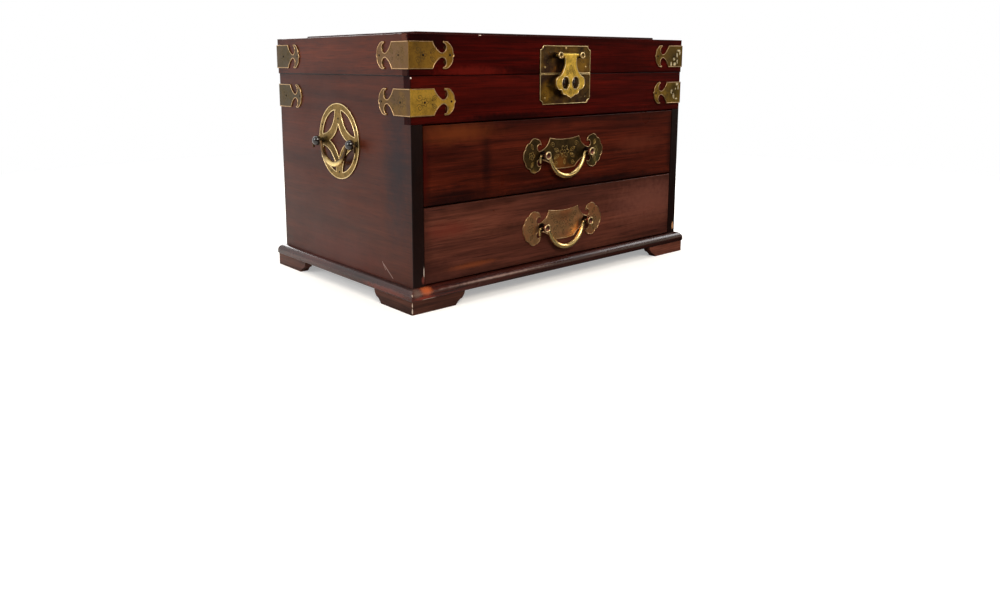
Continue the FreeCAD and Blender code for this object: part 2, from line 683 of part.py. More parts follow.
def side_plate_stations(side):
    """Nails of a side handle's plate."""
    centre = Vec(side * HALF_WIDTH, MIDDLE, BASE_TOP + SIDE_PLATE_RISE)
    return [Station(centre + Vec(0, across, up), RIGHTWARD * side, SHEET) for across, up in side_plate_places()]


def side_board():
    """The left side board, notched for the till front, rebated for the back and housed for its shelves."""
    side = board(-HALF_WIDTH, -HALF_OPENING, FRONT, BACK, BASE_TOP, JOINT)
    side = eased(side, EDGE_ROUND, {"x": -HALF_WIDTH, "y": FRONT}, {"x": -HALF_OPENING, "y": FRONT},
                 {"x": -HALF_WIDTH, "y": BACK})
    housing = -HALF_OPENING - HOUSING_DEPTH
    room = -HALF_OPENING + PAST
    side = side.cut([board(-HALF_WIDTH - PAST, room, FRONT - PAST, TILL_FRONT_INSIDE, TILL_BOTTOM,
                           JOINT + PAST),
                     board(-HALF_OPENING - BACK_REBATE, room, BACK_INSIDE, BACK + PAST, BASE_TOP - PAST,
                           JOINT + PAST),
                     board(housing, room, DRAWER_STOP, BACK_INSIDE, DIVIDER_BOTTOM, DIVIDER_TOP),
                     board(housing, room, TILL_FRONT_INSIDE, BACK_INSIDE, TILL_BOTTOM, TILL_FLOOR_TOP)])
    posts = post_stations(side_post_centre(-1), LEFTWARD, BACKWARD, SIDE_POST_SPACING)
    side = drilled(side, posts, POST_SHANK_RADIUS + HOLE_CLEARANCE, SIDE_THICKNESS + PAST)
    sinks = [rod(s.point + RIGHTWARD * (SIDE_THICKNESS - SIDE_COUNTERBORE_DEPTH),
                 s.point + RIGHTWARD * (SIDE_THICKNESS + PAST), SIDE_COUNTERBORE_RADIUS) for s in posts]
    side = side.cut(sinks)
    return nailed(side, side_plate_stations(-1) + case_bracket_stations())


def case_bracket_stations():
    """Nails of the brackets round the case's corners."""
    return bracket_stations(HALF_WIDTH, JOINT - CASE_BRACKET_DROP)


def lid_bracket_stations():
    """Nails of the brackets round the lid's corners."""
    return bracket_stations(HALF_LID, JOINT + LID_BRACKET_RISE)


def back_board():
    """The back, set in the side boards' rebates."""
    half = HALF_OPENING + BACK_REBATE
    back = board(-half, half, BACK_INSIDE, BACK, BASE_TOP, JOINT)
    return screwed(nailed(back, case_bracket_stations()), hinge_stations(-1))


def till_front():
    """The fixed front of the till, which covers the side boards' front edges."""
    front = board(-HALF_WIDTH, HALF_WIDTH, FRONT, TILL_FRONT_INSIDE, TILL_BOTTOM, JOINT)
    front = eased(front, EDGE_ROUND, {"y": FRONT, "z": TILL_BOTTOM}, {"y": FRONT, "z": JOINT},
                  {"x": -HALF_WIDTH, "y": FRONT}, {"x": HALF_WIDTH, "y": FRONT})
    front = nailed(front, case_bracket_stations() + case_lock_stations())
    return drilled(front, lug_stations(), SPIKE_RADIUS + HOLE_CLEARANCE, SPIKE_LENGTH)


def shelf(front, low, high):
    """A board between the sides, let into their housings."""
    half = HALF_OPENING + HOUSING_DEPTH
    return board(-half, half, front, BACK_INSIDE, low, high)


def side_handle(side):
    """A side handle: its plate, its ball posts with their washers, and its bail."""
    out = RIGHTWARD * side
    centre = side_post_centre(side)
    turn = 90 * side
    place = Vec(side * HALF_WIDTH, MIDDLE, BASE_TOP + SIDE_PLATE_RISE)
    plate = side_plate().rotated(Vec(0, 0, 0), UP, turn).translated(place)
    plate = nailed(plate, side_plate_stations(side))
    plate = drilled(plate, post_stations(centre, out, BACKWARD, SIDE_POST_SPACING),
                    POST_SHANK_RADIUS + HOLE_CLEARANCE, PAST)
    posts = post_pair(ball_post, centre, out, BACKWARD, SIDE_POST_SPACING, SIDE_AXIS_REACH,
                      SIDE_THICKNESS - SIDE_COUNTERBORE_DEPTH)
    swing = bail(SIDE_POST_SPACING, SIDE_BALL_RADIUS, SIDE_DROP).rotated(Vec(0, 0, 0), UP, turn)
    return [plate], posts, [swing.translated(centre + out * SIDE_AXIS_REACH)]


def hinge_spans():
    """Spans of the knuckles along X from a hinge's middle: the case leaf's two, then the lid leaf's one."""
    half = HINGE_LENGTH / 2
    inner = HINGE_LENGTH / 6
    ease = HINGE_KNUCKLE_GAP / 2
    return [(-half, -inner - ease), (inner + ease, half)], [(-inner + ease, inner - ease)]


def hinge_leaf(centre, up, own, other):
    """A leaf on the back, with its own knuckles and room for the other leaf's."""
    half = HINGE_LENGTH / 2
    ends = sorted((JOINT + up * HINGE_KNUCKLE_GAP, JOINT + up * HINGE_LEAF_HEIGHT))
    leaf = board(centre - half, centre + half, BACK, BACK + HINGE_LEAF_THICKNESS, *ends)
    room = HINGE_KNUCKLE_RADIUS + HINGE_LEAF_CLEARANCE
    for low, high in other:
        leaf = leaf.cut(board(centre + low - HINGE_KNUCKLE_GAP, centre + high + HINGE_KNUCKLE_GAP,
                              BACK - PAST, BACK + HINGE_LEAF_THICKNESS + PAST, JOINT - room, JOINT + room))
    axis = Vec(centre, HINGE_AXIS, JOINT)
    for low, high in own:
        leaf = leaf.fuse(rod(axis + RIGHTWARD * low, axis + RIGHTWARD * high, HINGE_KNUCKLE_RADIUS))
    bore = rod(axis - RIGHTWARD * half, axis + RIGHTWARD * half, HINGE_PIN_RADIUS + HINGE_PIN_CLEARANCE)
    return screwed(leaf.cut(bore), hinge_stations(up))


def hinge_stations(up):
    """Screws of both hinges' leaves on the lid (up = 1) or on the case (up = -1)."""
    height = JOINT + up * (HINGE_KNUCKLE_RADIUS + HINGE_LEAF_HEIGHT) / 2
    return [Station(Vec(hinge * HINGE_SPACING / 2 + side * SCREW_SPACING / 2, BACK, height), BACKWARD,
                    HINGE_LEAF_THICKNESS) for hinge in (-1, 1) for side in (-1, 1)]


def hinges():
    """Leaves on the case, leaves on the lid, and pins."""
    case_spans, lid_spans = hinge_spans()
    centres = (-HINGE_SPACING / 2, HINGE_SPACING / 2)
    case_leaves = [hinge_leaf(centre, -1, case_spans, lid_spans) for centre in centres]
    lid_leaves = [hinge_leaf(centre, 1, lid_spans, case_spans) for centre in centres]
    half = RIGHTWARD * (HINGE_LENGTH / 2)
    pins = [rod(Vec(c, HINGE_AXIS, JOINT) - half, Vec(c, HINGE_AXIS, JOINT) + half, HINGE_PIN_RADIUS)
            for c in centres]
    return case_leaves, lid_leaves, pins


def case_nodes():
    """Everything that stays with the case."""
    left = side_board()
    feet = foot()
    plate = lock_plate(LOCK_LOWER_HEIGHT, -1, case_lock_stations())
    plate = drilled(plate, lug_stations(), SPIKE_RADIUS + HOLE_CLEARANCE, PAST)
    stations = case_bracket_stations() + case_lock_stations() + side_plate_stations(-1) + side_plate_stations(1)
    nodes = {
        "base_board": [base_board()],
        "side_board_left": [left],
        "side_board_right": [left.mirror(Vec(0, 0, 0), RIGHTWARD)],
        "back_board": [back_board()],
        "till_front": [till_front()],
        "till_floor": [shelf(TILL_FRONT_INSIDE, TILL_BOTTOM, TILL_FLOOR_TOP)],
        "drawer_divider": [shelf(DRAWER_STOP, DIVIDER_BOTTOM, DIVIDER_TOP)],
        "case_corner_brackets": corner_brackets(HALF_WIDTH, JOINT - CASE_BRACKET_DROP),
        "case_lock_plate": [plate],
        "lock_lugs": lock_lugs(),
        "case_nails": nails(stations),
        "case_hinge_screws": screws(hinge_stations(-1)),
    }
    for x_side, y_side in corner_signs():
        name = "foot_{}_{}".format("front" if y_side < 0 else "back", "left" if x_side < 0 else "right")
        nodes[name] = [at_corner(piece, x_side, y_side, HALF_WIDTH) for piece in feet]
    for side, name in ((-1, "left"), (1, "right")):
        plate, posts, swing = side_handle(side)
        nodes["side_plate_" + name] = plate
        nodes["side_posts_" + name] = posts
        nodes["side_bail_" + name] = swing
    return nodes


def hasp_post(x):
    """A round-headed post on the lid that holds one end of the hasp's pin."""
    collar = SHEET + HASP_POST_COLLAR_HEIGHT
    head = disc_head(HASP_POST_NECK_RADIUS, collar + HASP_POST_NECK_LENGTH, HASP_POST_HEAD_RADIUS,
                     HASP_POST_HEAD_THICKNESS)
    base = Vec(x, FRONT, JOINT + HASP_PIVOT_RISE)
    post = lathe(base, FORWARD, (0, -SPIKE_LENGTH), (SPIKE_RADIUS, -SPIKE_LENGTH), (SPIKE_RADIUS, SHEET),
                 (HASP_POST_COLLAR_RADIUS, SHEET), (HASP_POST_COLLAR_RADIUS, collar),
                 (HASP_POST_NECK_RADIUS, collar), *head)
    middle = base + FORWARD * HASP_AXIS_REACH
    reach = RIGHTWARD * (2 * HASP_POST_NECK_RADIUS)
    return post.cut(rod(middle - reach, middle + reach, HASP_PIN_RADIUS + HOLE_CLEARANCE))


def hasp_post_stations():
    """Where the hasp's posts enter the lid."""
    return post_stations(Vec(0, FRONT, JOINT + HASP_PIVOT_RISE), FORWARD, RIGHTWARD, HASP_POST_SPACING)


def hasp_pin():
    """The pin that the hasp turns on, held in both posts."""
    middle = Vec(0, FRONT - HASP_AXIS_REACH, JOINT + HASP_PIVOT_RISE)
    reach = RIGHTWARD * (HASP_POST_SPACING / 2 + HASP_POST_NECK_RADIUS)
    return rod(middle - reach, middle + reach, HASP_PIN_RADIUS)


def lid_rim():
    """The four boards round the lid. The front and back boards cover the ends of the side ones."""
    inner_front = FRONT + LID_RIM_THICKNESS
    inner_back = BACK - LID_RIM_THICKNESS
    front = eased(board(-HALF_LID, HALF_LID, FRONT, inner_front, JOINT, LID_TOP), EDGE_ROUND,
                  {"y": FRONT, "z": LID_TOP}, {"y": FRONT, "z": JOINT}, {"x": -HALF_LID, "y": FRONT},
                  {"x": HALF_LID, "y": FRONT})
    back = eased(board(-HALF_LID, HALF_LID, inner_back, BACK, JOINT, LID_TOP), EDGE_ROUND,
                 {"y": BACK, "z": LID_TOP}, {"x": -HALF_LID, "y": BACK}, {"x": HALF_LID, "y": BACK})
    left = eased(board(-HALF_LID, -HALF_LID_INSIDE, inner_front, inner_back, JOINT, LID_TOP), EDGE_ROUND,
                 {"x": -HALF_LID, "z": LID_TOP}, {"x": -HALF_LID, "z": JOINT})
    stations = lid_bracket_stations()
    front = drilled(nailed(front, stations + lid_lock_stations()), hasp_post_stations(),
                    SPIKE_RADIUS + HOLE_CLEARANCE, SPIKE_LENGTH)
    back = screwed(nailed(back, stations), hinge_stations(1))
    left = nailed(left, stations)
    return front, back, left, left.mirror(Vec(0, 0, 0), RIGHTWARD)


def lid_top():
    """The mitred rails inside the rim, and the raised panel whose tongue floats in their grooves."""
    front = FRONT + LID_RIM_THICKNESS
    back = BACK - LID_RIM_THICKNESS
    edge = LID_RAIL_WIDTH + PANEL_GAP
    reach = LID_RAIL_WIDTH - PANEL_TONGUE
    low = RAIL_BOTTOM + (LID_RAIL_THICKNESS - PANEL_TONGUE_THICKNESS) / 2
    high = low + PANEL_TONGUE_THICKNESS
    groove = board(-HALF_LID_INSIDE + reach, HALF_LID_INSIDE - reach, front + reach, back - reach, low, high)
    rails = ring_of_four(-HALF_LID_INSIDE, HALF_LID_INSIDE, front, back, LID_RAIL_WIDTH, RAIL_BOTTOM, LID_TOP)
    rails = [rail.cut(groove) for rail in rails]
    half = HALF_LID_INSIDE - edge
    body = eased(board(-half, half, front + edge, back - edge, RAIL_BOTTOM, PANEL_TOP), PANEL_ROUND,
                 {"z": PANEL_TOP})
    wide = half + PANEL_TONGUE
    tongue = board(-wide, wide, front + edge - PANEL_TONGUE, back - edge + PANEL_TONGUE, low, high)
    return rails, body.fuse(tongue).removeSplitter()


def lid_mirror():
    """The mirror under the panel, and the four rebated strips that hold it."""
    half = HALF_LID_INSIDE - MIRROR_FRAME_MARGIN
    front = FRONT + LID_RIM_THICKNESS + MIRROR_FRAME_MARGIN
    back = BACK - LID_RIM_THICKNESS - MIRROR_FRAME_MARGIN
    edge = MIRROR_FRAME_WIDTH - MIRROR_LAP
    glass = board(-half + edge, half - edge, front + edge, back - edge, RAIL_BOTTOM - MIRROR_THICKNESS,
                  RAIL_BOTTOM)
    strips = ring_of_four(-half, half, front, back, MIRROR_FRAME_WIDTH, RAIL_BOTTOM - MIRROR_FRAME_THICKNESS,
                          RAIL_BOTTOM)
    return glass, [strip.cut(glass) for strip in strips]


def lid_nodes():
    """Everything that opens with the lid."""
    front, back, left, right = lid_rim()
    rails, panel = lid_top()
    glass, strips = lid_mirror()
    plate = lock_plate(LOCK_UPPER_HEIGHT, 1, lid_lock_stations())
    plate = drilled(plate, hasp_post_stations(), SPIKE_RADIUS + HOLE_CLEARANCE, PAST)
    return {
        "lid_front": [front],
        "lid_back": [back],
        "lid_left": [left],
        "lid_right": [right],
        "lid_rails": rails,
        "lid_panel": [panel],
        "mirror": [glass],
        "mirror_frame": strips,
        "lid_corner_brackets": corner_brackets(HALF_LID, JOINT + LID_BRACKET_RISE),
        "lid_lock_plate": [plate],
        "hasp_posts": [hasp_post(side * HASP_POST_SPACING / 2) for side in (-1, 1)],
        "hasp_pin": [hasp_pin()],
        "hasp": [hasp()],
        "lid_nails": nails(lid_bracket_stations() + lid_lock_stations()),
        "lid_hinge_screws": screws(hinge_stations(1)),
    }


def drawer_nodes(name, floor, height, front_low, front_high, pull_rise):
    """A drawer above the given floor, with its pull. Its front is lipped over the shelf beside it."""
    half = HALF_OPENING - DRAWER_SIDE_GAP
    inner = half - DRAWER_WALL
    behind = FRONT + DRAWER_FRONT_THICKNESS
    end = BACK_INSIDE - DRAWER_BACK_GAP
    low = floor + DRAWER_RUN_GAP
    high = floor + height - DRAWER_TOP_GAP
    bottom_low = low + DRAWER_BOTTOM_RISE
    bottom_high = bottom_low + DRAWER_BOTTOM_THICKNESS
    groove = inner + DRAWER_GROOVE
    bottom = board(-groove, groove, behind - DRAWER_GROOVE, end, bottom_low, bottom_high)
    sides = [board(-half, -inner, behind - DRAWER_FRONT_REBATE, end, low, high),
             board(inner, half, behind - DRAWER_FRONT_REBATE, end, low, high)]
    centre = Vec(0, FRONT, floor + pull_rise)
    front = eased(board(-half, half, FRONT, behind, front_low, front_high), EDGE_ROUND, {"y": FRONT})
    front = drilled(front.cut(sides + [bottom]), post_stations(centre, FORWARD, RIGHTWARD, PULL_SPACING),
                    POST_SHANK_RADIUS + HOLE_CLEARANCE, DRAWER_FRONT_THICKNESS + PAST)
    posts = post_pair(pull_post, centre, FORWARD, RIGHTWARD, PULL_SPACING, PULL_AXIS_REACH,
                      DRAWER_FRONT_THICKNESS)
    lining = board(-inner + LINING_GAP, inner - LINING_GAP, behind + LINING_GAP, end - DRAWER_WALL - LINING_GAP,
                   bottom_high, bottom_high + LINING_THICKNESS)
    swing = bail(PULL_SPACING, PULL_HEAD_RADIUS, PULL_DROP).translated(centre + FORWARD * PULL_AXIS_REACH)
    return {
        name + "_drawer_front": [front],
        name + "_drawer_sides": [side.cut(bottom) for side in sides],
        name + "_drawer_back": [board(-inner, inner, end - DRAWER_WALL, end, bottom_high, high)],
        name + "_drawer_bottom": [bottom],
        name + "_drawer_lining": [lining],
        name + "_pull_plate": [pull_plate().translated(centre)],
        name + "_pull_posts": posts,
        name + "_pull_bail": [swing],
    }


def tray_nodes():
    """The lift-out tray: walls, bottom, dividers and a lining in each of its five cells."""
    half = HALF_OPENING - TRAY_SIDE_GAP
    front = TILL_FRONT_INSIDE + TRAY_SIDE_GAP
    back = BACK - LID_RIM_THICKNESS - TRAY_SIDE_GAP
    low = TILL_FLOOR_TOP + TRAY_SEAT_GAP
    high = low + TRAY_HEIGHT
    inner = half - TRAY_WALL
    inner_front = front + TRAY_WALL
    inner_back = back - TRAY_WALL
    walls = [board(-half, half, front, inner_front, low, high), board(-half, half, inner_back, back, low, high),
             board(-half, -inner, inner_front, inner_back, low, high),
             board(inner, half, inner_front, inner_back, low, high)]
    floor = low + TRAY_BOTTOM_THICKNESS
    top = high - TRAY_DIVIDER_DROP
    row = inner_front + TRAY_FRONT_ROW_DEPTH
    rows = [(inner_front, row, [-inner, inner - TRAY_SMALL_CELL]),
            (row + TRAY_DIVIDER, inner_back, [-inner, -inner / 3, inner / 3])]
    dividers = [board(-inner, inner, row, row + TRAY_DIVIDER, floor, top)]
    linings = []
    for near, far, starts in rows:
        ends = [start - TRAY_DIVIDER / 2 for start in starts[1:]] + [inner]
        starts = starts[:1] + [start + TRAY_DIVIDER / 2 for start in starts[1:]]
        dividers.extend(board(end, end + TRAY_DIVIDER, near, far, floor, top) for end in ends[:-1])
        linings.extend(board(start + LINING_GAP, end - LINING_GAP, near + LINING_GAP, far - LINING_GAP, floor,
                             floor + LINING_THICKNESS) for start, end in zip(starts, ends))
    return {
        "tray_walls": walls,
        "tray_bottom": [board(-inner, inner, inner_front, inner_back, low, floor)],
        "tray_dividers": dividers,
        "tray_linings": linings,
    }


def build():
    """Every node of the chest, by name."""
    nodes = case_nodes()
    case_leaves, lid_leaves, pins = hinges()
    nodes.update({"hinge_case_leaves": case_leaves, "hinge_lid_leaves": lid_leaves, "hinge_pins": pins})
    nodes.update(lid_nodes())
    nodes.update(drawer_nodes("upper", DIVIDER_TOP, UPPER_OPENING_HEIGHT, DIVIDER_TOP - FRONT_LIP,
                              TILL_BOTTOM - FRONT_REVEAL, UPPER_PULL_RISE))
    nodes.update(drawer_nodes("lower", BASE_TOP, LOWER_OPENING_HEIGHT, BASE_TOP + FRONT_REVEAL,
                              DIVIDER_BOTTOM + FRONT_LIP, LOWER_PULL_RISE))
    nodes.update(tray_nodes())
    return nodes


def write(nodes):
    """Write each node to its own file and print its solids and volume."""
    os.makedirs("parts", exist_ok=True)
    for name, solids in sorted(nodes.items()):
        shape = solids[0] if len(solids) == 1 else Part.makeCompound(solids)
        shape.exportStep(os.path.join("parts", name + ".step"))
        print(name, len(shape.Solids), "solids", round(shape.Volume / 1000, 3), "cm3", shape.isValid())


write(build())
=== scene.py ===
"""Looks of a rosewood jewellery chest: its finishes, its engraved brasswork, its linings and its studio."""

import logging
import math
from collections.abc import Iterable, Sequence
from dataclasses import dataclass, field, replace
from enum import Enum

import bmesh
import bpy
import numpy as np
from mathutils import Matrix, Vector

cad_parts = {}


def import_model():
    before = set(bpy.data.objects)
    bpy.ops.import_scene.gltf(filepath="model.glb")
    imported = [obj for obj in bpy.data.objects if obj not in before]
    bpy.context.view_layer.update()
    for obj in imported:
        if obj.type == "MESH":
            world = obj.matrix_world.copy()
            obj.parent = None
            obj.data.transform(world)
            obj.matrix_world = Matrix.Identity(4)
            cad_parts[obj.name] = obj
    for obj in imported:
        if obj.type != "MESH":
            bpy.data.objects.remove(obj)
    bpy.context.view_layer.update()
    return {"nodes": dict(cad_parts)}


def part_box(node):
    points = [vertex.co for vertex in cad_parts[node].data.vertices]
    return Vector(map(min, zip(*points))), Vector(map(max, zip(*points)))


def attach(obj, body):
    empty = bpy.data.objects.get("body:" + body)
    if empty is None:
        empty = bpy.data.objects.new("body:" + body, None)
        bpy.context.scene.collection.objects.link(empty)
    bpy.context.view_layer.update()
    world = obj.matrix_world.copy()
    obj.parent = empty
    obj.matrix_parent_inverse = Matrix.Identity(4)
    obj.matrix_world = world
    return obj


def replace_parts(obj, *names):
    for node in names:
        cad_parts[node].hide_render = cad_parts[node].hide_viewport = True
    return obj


Array = np.ndarray
Point = tuple[float, float]
Triple = tuple[float, float, float]
Lines = list[tuple[Array, bool]]
Node = bpy.types.Node
Socket = bpy.types.NodeSocket
Material = bpy.types.Material
Item = bpy.types.Object

MM = 0.001
LOG = logging.getLogger("chest")


def linear(code: str) -> tuple[float, float, float, float]:
    """Turn an sRGB hex colour into linear light.

    Args:
        code: Six hex digits after a hash.

    Returns:
        Red, green, blue and an alpha of 1.
    """
    values = [int(code[i:i + 2], 16) / 255 for i in (1, 3, 5)]
    red, green, blue = (v / 12.92 if v <= 0.04045 else ((v + 0.055) / 1.055) ** 2.4 for v in values)
    return red, green, blue, 1.0


def patches(place: "Socket | Node", size: float, detail: float, **look: float) -> dict:
    """Return the sockets of a texture read at a place, whose patches have that real size in millimetres."""
    return {"Vector": place, "Scale": 1 / (size * MM), "Detail": detail, **look}


class Grain(Enum):
    """The way a board's grain runs."""

    ALONG_X = 0
    ALONG_Y = 1

    def stretch(self, share: float) -> list[float]:
        """Return the scales of a pattern that is drawn out along the grain."""
        return [share if axis == self.value else 1.0 for axis in range(3)]


class Recipe:
    """The node tree of a material or of the world, while it is put together."""

    def __init__(self, name: str, world: bool = False) -> None:
        """Start an empty tree with the places that its patterns are read at."""
        self.owner = (bpy.data.worlds if world else bpy.data.materials).new(name)
        self.owner.use_nodes = True
        self.end = "OutputWorld" if world else "OutputMaterial"
        self.tree = self.owner.node_tree
        self.tree.nodes.clear()
        self.at = self.add("TexCoord").outputs
        self.place = self.at["Object"]

    def add(self, kind: str, inputs: dict | Sequence = (), ramp: Sequence[tuple[float, str]] = (),
            **settings: object) -> Node:
        """Add one node with its settings and links.

        Args:
            kind: The node's type, without the leading ShaderNode.
            inputs: What goes into its sockets, in their order or by name: a value, a hex colour, a socket, or a
                node whose first output is meant.
            ramp: Positions and colours of a colour ramp's two stops.
            settings: The node's own properties.

        Returns:
            The new node.
        """
        node = self.tree.nodes.new("ShaderNode" + kind)
        for name, value in settings.items():
            setattr(node, name, value)
        for i, (place, code) in enumerate(ramp):
            stop = node.color_ramp.elements[i]
            stop.position, stop.color = place, linear(code)
        for key, value in inputs.items() if isinstance(inputs, dict) else enumerate(inputs):
            if isinstance(value, Node):
                value = value.outputs[0]
            if isinstance(value, Socket):
                self.tree.links.new(value, node.inputs[key])
            else:
                node.inputs[key].default_value = linear(value) if isinstance(value, str) else value
        return node

    def marked(self, colour: Node, marks: Iterable["Mark | Scratch"]) -> Node:
        """Lay marks over a colour, one after another."""
        for mark in marks:
            colour = self.add("MixRGB", [mark.share(self), colour, mark.colour])
        return colour

    def finish(self, surface: Node | dict) -> Material:
        """Send a shader, or the principled one with these sockets, to the output and return the material."""
        if isinstance(surface, dict):
            surface = self.add("BsdfPrincipled", surface)
        self.add(self.end, {"Surface": surface})
        return self.owner


@dataclass(frozen=True)
class Mark:
    """A worn, dirty or chipped place, in millimetres.

    Its edge lies where the distance, in shares of its reach, comes to the value of end with the noise added. A soft
    mark fades over more of its reach, and a crumb is the size of the noise, if it isn't to follow from the reach.
    """

    centre: Triple
    reach: Triple
    colour: str
    strength: float = 1.0
    soft: float = 0.2
    crumb: float = 0.0
    end: float = 1.25

    def share(self, recipe: Recipe) -> Node:
        """Return how much of the mark shows: its scaled distance from the centre, made ragged by noise."""
        add = recipe.add
        away = add("VectorMath", [recipe.place, Vector(self.centre) * MM], operation="SUBTRACT")
        away = add("VectorMath", [away, Vector(self.reach) * MM], operation="DIVIDE")
        away = add("VectorMath", [away], operation="LENGTH").outputs["Value"]
        crumbs = add("TexNoise", patches(recipe.place, self.crumb or min(self.reach) * 0.9, 4.0))
        away = add("Math", [away, crumbs], operation="ADD")
        return add("MapRange", [away, self.end - self.soft / 2, self.end + self.soft / 2, self.strength, 0.0],
                   interpolation_type="SMOOTHSTEP")


def on_front(front: float, deep: float, *rows: Sequence) -> tuple[Mark, ...]:
    """Return marks on the front, whose rows give the place and reach across and up, and then the other values."""
    return tuple(Mark((x, front, z), (wide, deep, tall), *more) for x, z, wide, tall, *more in rows)


@dataclass(frozen=True)
class Scratch:
    """A straight pale scratch from one point to another, in millimetres."""

    start: Triple
    end: Triple
    width: float = 0.5
    colour: str = "#a58a80"
    strength: float = 0.7

    def share(self, recipe: Recipe) -> Node:
        """Return how much of the scratch shows, from the distance to the nearest point of the line."""
        add = recipe.add
        start, run = Vector(self.start) * MM, (Vector(self.end) - Vector(self.start)) * MM
        away = add("VectorMath", [recipe.place, start], operation="SUBTRACT")
        along = add("VectorMath", [away, run / run.length_squared], operation="DOT_PRODUCT").outputs["Value"]
        along = add("Math", [along, 0.0], operation="MAXIMUM")
        along = add("Math", [along, 1.0], operation="MINIMUM")
        nearest = add("VectorMath", {0: run, "Scale": along}, operation="SCALE")
        gap = add("VectorMath", [away, nearest], operation="DISTANCE").outputs["Value"]
        return add("MapRange", [gap, self.width * 0.5 * MM, self.width * MM, self.strength, 0.0])


@dataclass(frozen=True)
class Rosewood:
    """Oiled rosewood under a thin rubbed lacquer, planed and hand finished.

    The lacquer gives a clear broad gloss over a dark red ground. Long brown-black streaks and short open pores run
    with the grain. Handling has dulled the boards, and they darken towards their edges: partly grime, partly painted
    shade in the gaps between parts and on the lid panel's raised sides.
    """

    ground: str = "#3d0f08"
    warm: str = "#5c1d0f"
    streak: str = "#120404"
    pore: str = "#0d0404"
    grime_and_shade: str = "#0b0404"
    streak_share: float = 0.5
    edge_dark: float = 0.45
    roughness: float = 0.34
    shine: float = 0.16
    lacquer: float = 0.05
    band_mm: float = 30.0
    cloud_mm: float = 9.0
    streak_mm: float = 5.0
    line_mm: float = 1.5
    pore_mm: float = 0.5
    edge_wobble_mm: float = 14.0
    haze_mm: float = 45.0
    grime_and_shade_mm: Triple = (-6.0, 4.0, 12.0)
    line_depth: float = 0.36
    draw_out: Triple = (0.10, 0.045, 0.02)
    marks: tuple[Mark | Scratch, ...] = ()

    def course(self, recipe: Recipe, split: Node, mitre: Triple) -> Node:
        """Turn the grain of a mitred frame so that it follows each side.

        A point nearer to a left or right edge than to a front or back one reads its place with X and Y exchanged.

        Args:
            recipe: The material being made.
            split: The point's place, one coordinate a socket.
            mitre: Half width, half depth and middle depth of the frame, in metres.

        Returns:
            The node whose output is the place to read the grain at.
        """
        add = recipe.add
        x, y, z = split.outputs
        half_width, half_depth, middle = mitre
        deep = add("Math", [y, middle], operation="SUBTRACT")
        lead = add("Math", [add("Math", [x], operation="ABSOLUTE"), add("Math", [deep], operation="ABSOLUTE")],
                   operation="SUBTRACT")
        side = add("Math", [lead, half_width - half_depth], operation="GREATER_THAN")
        return add("MixRGB", [side, recipe.place, add("CombineXYZ", [y, x, z])])

    def material(self, node: str, grain: Grain, facing: int, mitre: Triple | None = None) -> Material:
        """Make the finish for one board.

        Args:
            node: The board's node.
            grain: Which way the grain runs.
            facing: The axis that its broad face looks along, 0 to 2.
            mitre: Half width, half depth and middle depth of a frame whose sides meet in mitres, or None.

        Returns:
            The material.
        """
        recipe = Recipe("rosewood_" + node)
        add = recipe.add
        split = add("SeparateXYZ", [recipe.place])
        course = self.course(recipe, split, mitre) if mitre else recipe.place
        shift = [sum(ord(c) for c in node) * 0.137 % 1, len(node) * 0.311 % 1, 0.0]
        broad, long, longest = (add("Mapping", {"Vector": course, "Location": shift, "Scale": grain.stretch(share)})
                                for share in self.draw_out)
        bands = add("TexNoise", patches(broad, self.band_mm, 5.0, Roughness=0.6, Distortion=0.5))
        wood = add("ValToRGB", [bands], [(0.34, self.ground), (0.66, self.warm)])
        wisps = add("TexNoise", patches(long, self.streak_mm, 6.0, Roughness=0.6, Distortion=0.3))
        streaky = add("MapRange", [wisps, 0.50, 0.68, 0.0, self.streak_share], interpolation_type="SMOOTHSTEP")
        wood = add("MixRGB", [streaky, wood, self.streak])
        lines = add("TexNoise", patches(longest, self.line_mm, 3.0, Roughness=0.65))
        line = add("MapRange", [lines, 0.30, 0.70, 1 - self.line_depth, 1 + self.line_depth])
        clouds = add("TexNoise", patches(broad, self.cloud_mm, 4.0, Roughness=0.6))
        for shade in (line, add("MapRange", [clouds, 0.3, 0.7, 0.78, 1.22])):
            wood = add("MixRGB", [1.0, wood, shade], blend_type="MULTIPLY")
        pores = add("TexNoise", patches(longest, self.pore_mm, 1.0))
        pore = add("MapRange", [pores, 0.60, 0.72, 0.0, 0.6])
        wood = add("MixRGB", [pore, wood, self.pore])
        gaps = []
        for axis, (low, high) in enumerate(zip(*box(node))):
            if axis != facing:
                ends = (add("Math", [split.outputs[axis], float(low)], operation="SUBTRACT"),
                        add("Math", [float(high), split.outputs[axis]], operation="SUBTRACT"))
                gaps.append(add("Math", ends, operation="MINIMUM"))
        # Darker towards each board's edges: partly grime, partly painted shade in the gaps between parts.
        inner, outer, reach = (v * MM for v in self.grime_and_shade_mm)
        edge_wobble = add("TexNoise", patches(recipe.place, self.edge_wobble_mm, 3.0))
        ragged = add("Math", [edge_wobble, reach], operation="MULTIPLY")
        worn = add("Math", [add("Math", gaps, operation="MINIMUM"), ragged], operation="SUBTRACT")
        grime_and_shade = add("MapRange", [worn, inner, outer, self.edge_dark, 0.0], interpolation_type="SMOOTHSTEP")
        wood = recipe.marked(add("MixRGB", [grime_and_shade, wood, self.grime_and_shade]), self.marks)
        haze = add("TexNoise", patches(recipe.place, self.haze_mm, 4.0))
        dull = add("MapRange", [haze, 0.3, 0.7, self.roughness - 0.07, self.roughness + 0.08])
        grooves = add("Math", [line, pore], operation="SUBTRACT")
        relief = add("Bump", {"Height": grooves, "Distance": 0.06 * MM, "Strength": 0.5})
        return recipe.finish({"Base Color": wood, "Roughness": dull, "Normal": relief, "IOR": 1.47,
                              "Specular IOR Level": self.shine, "Coat Weight": self.lacquer, "Coat Roughness": 0.18})


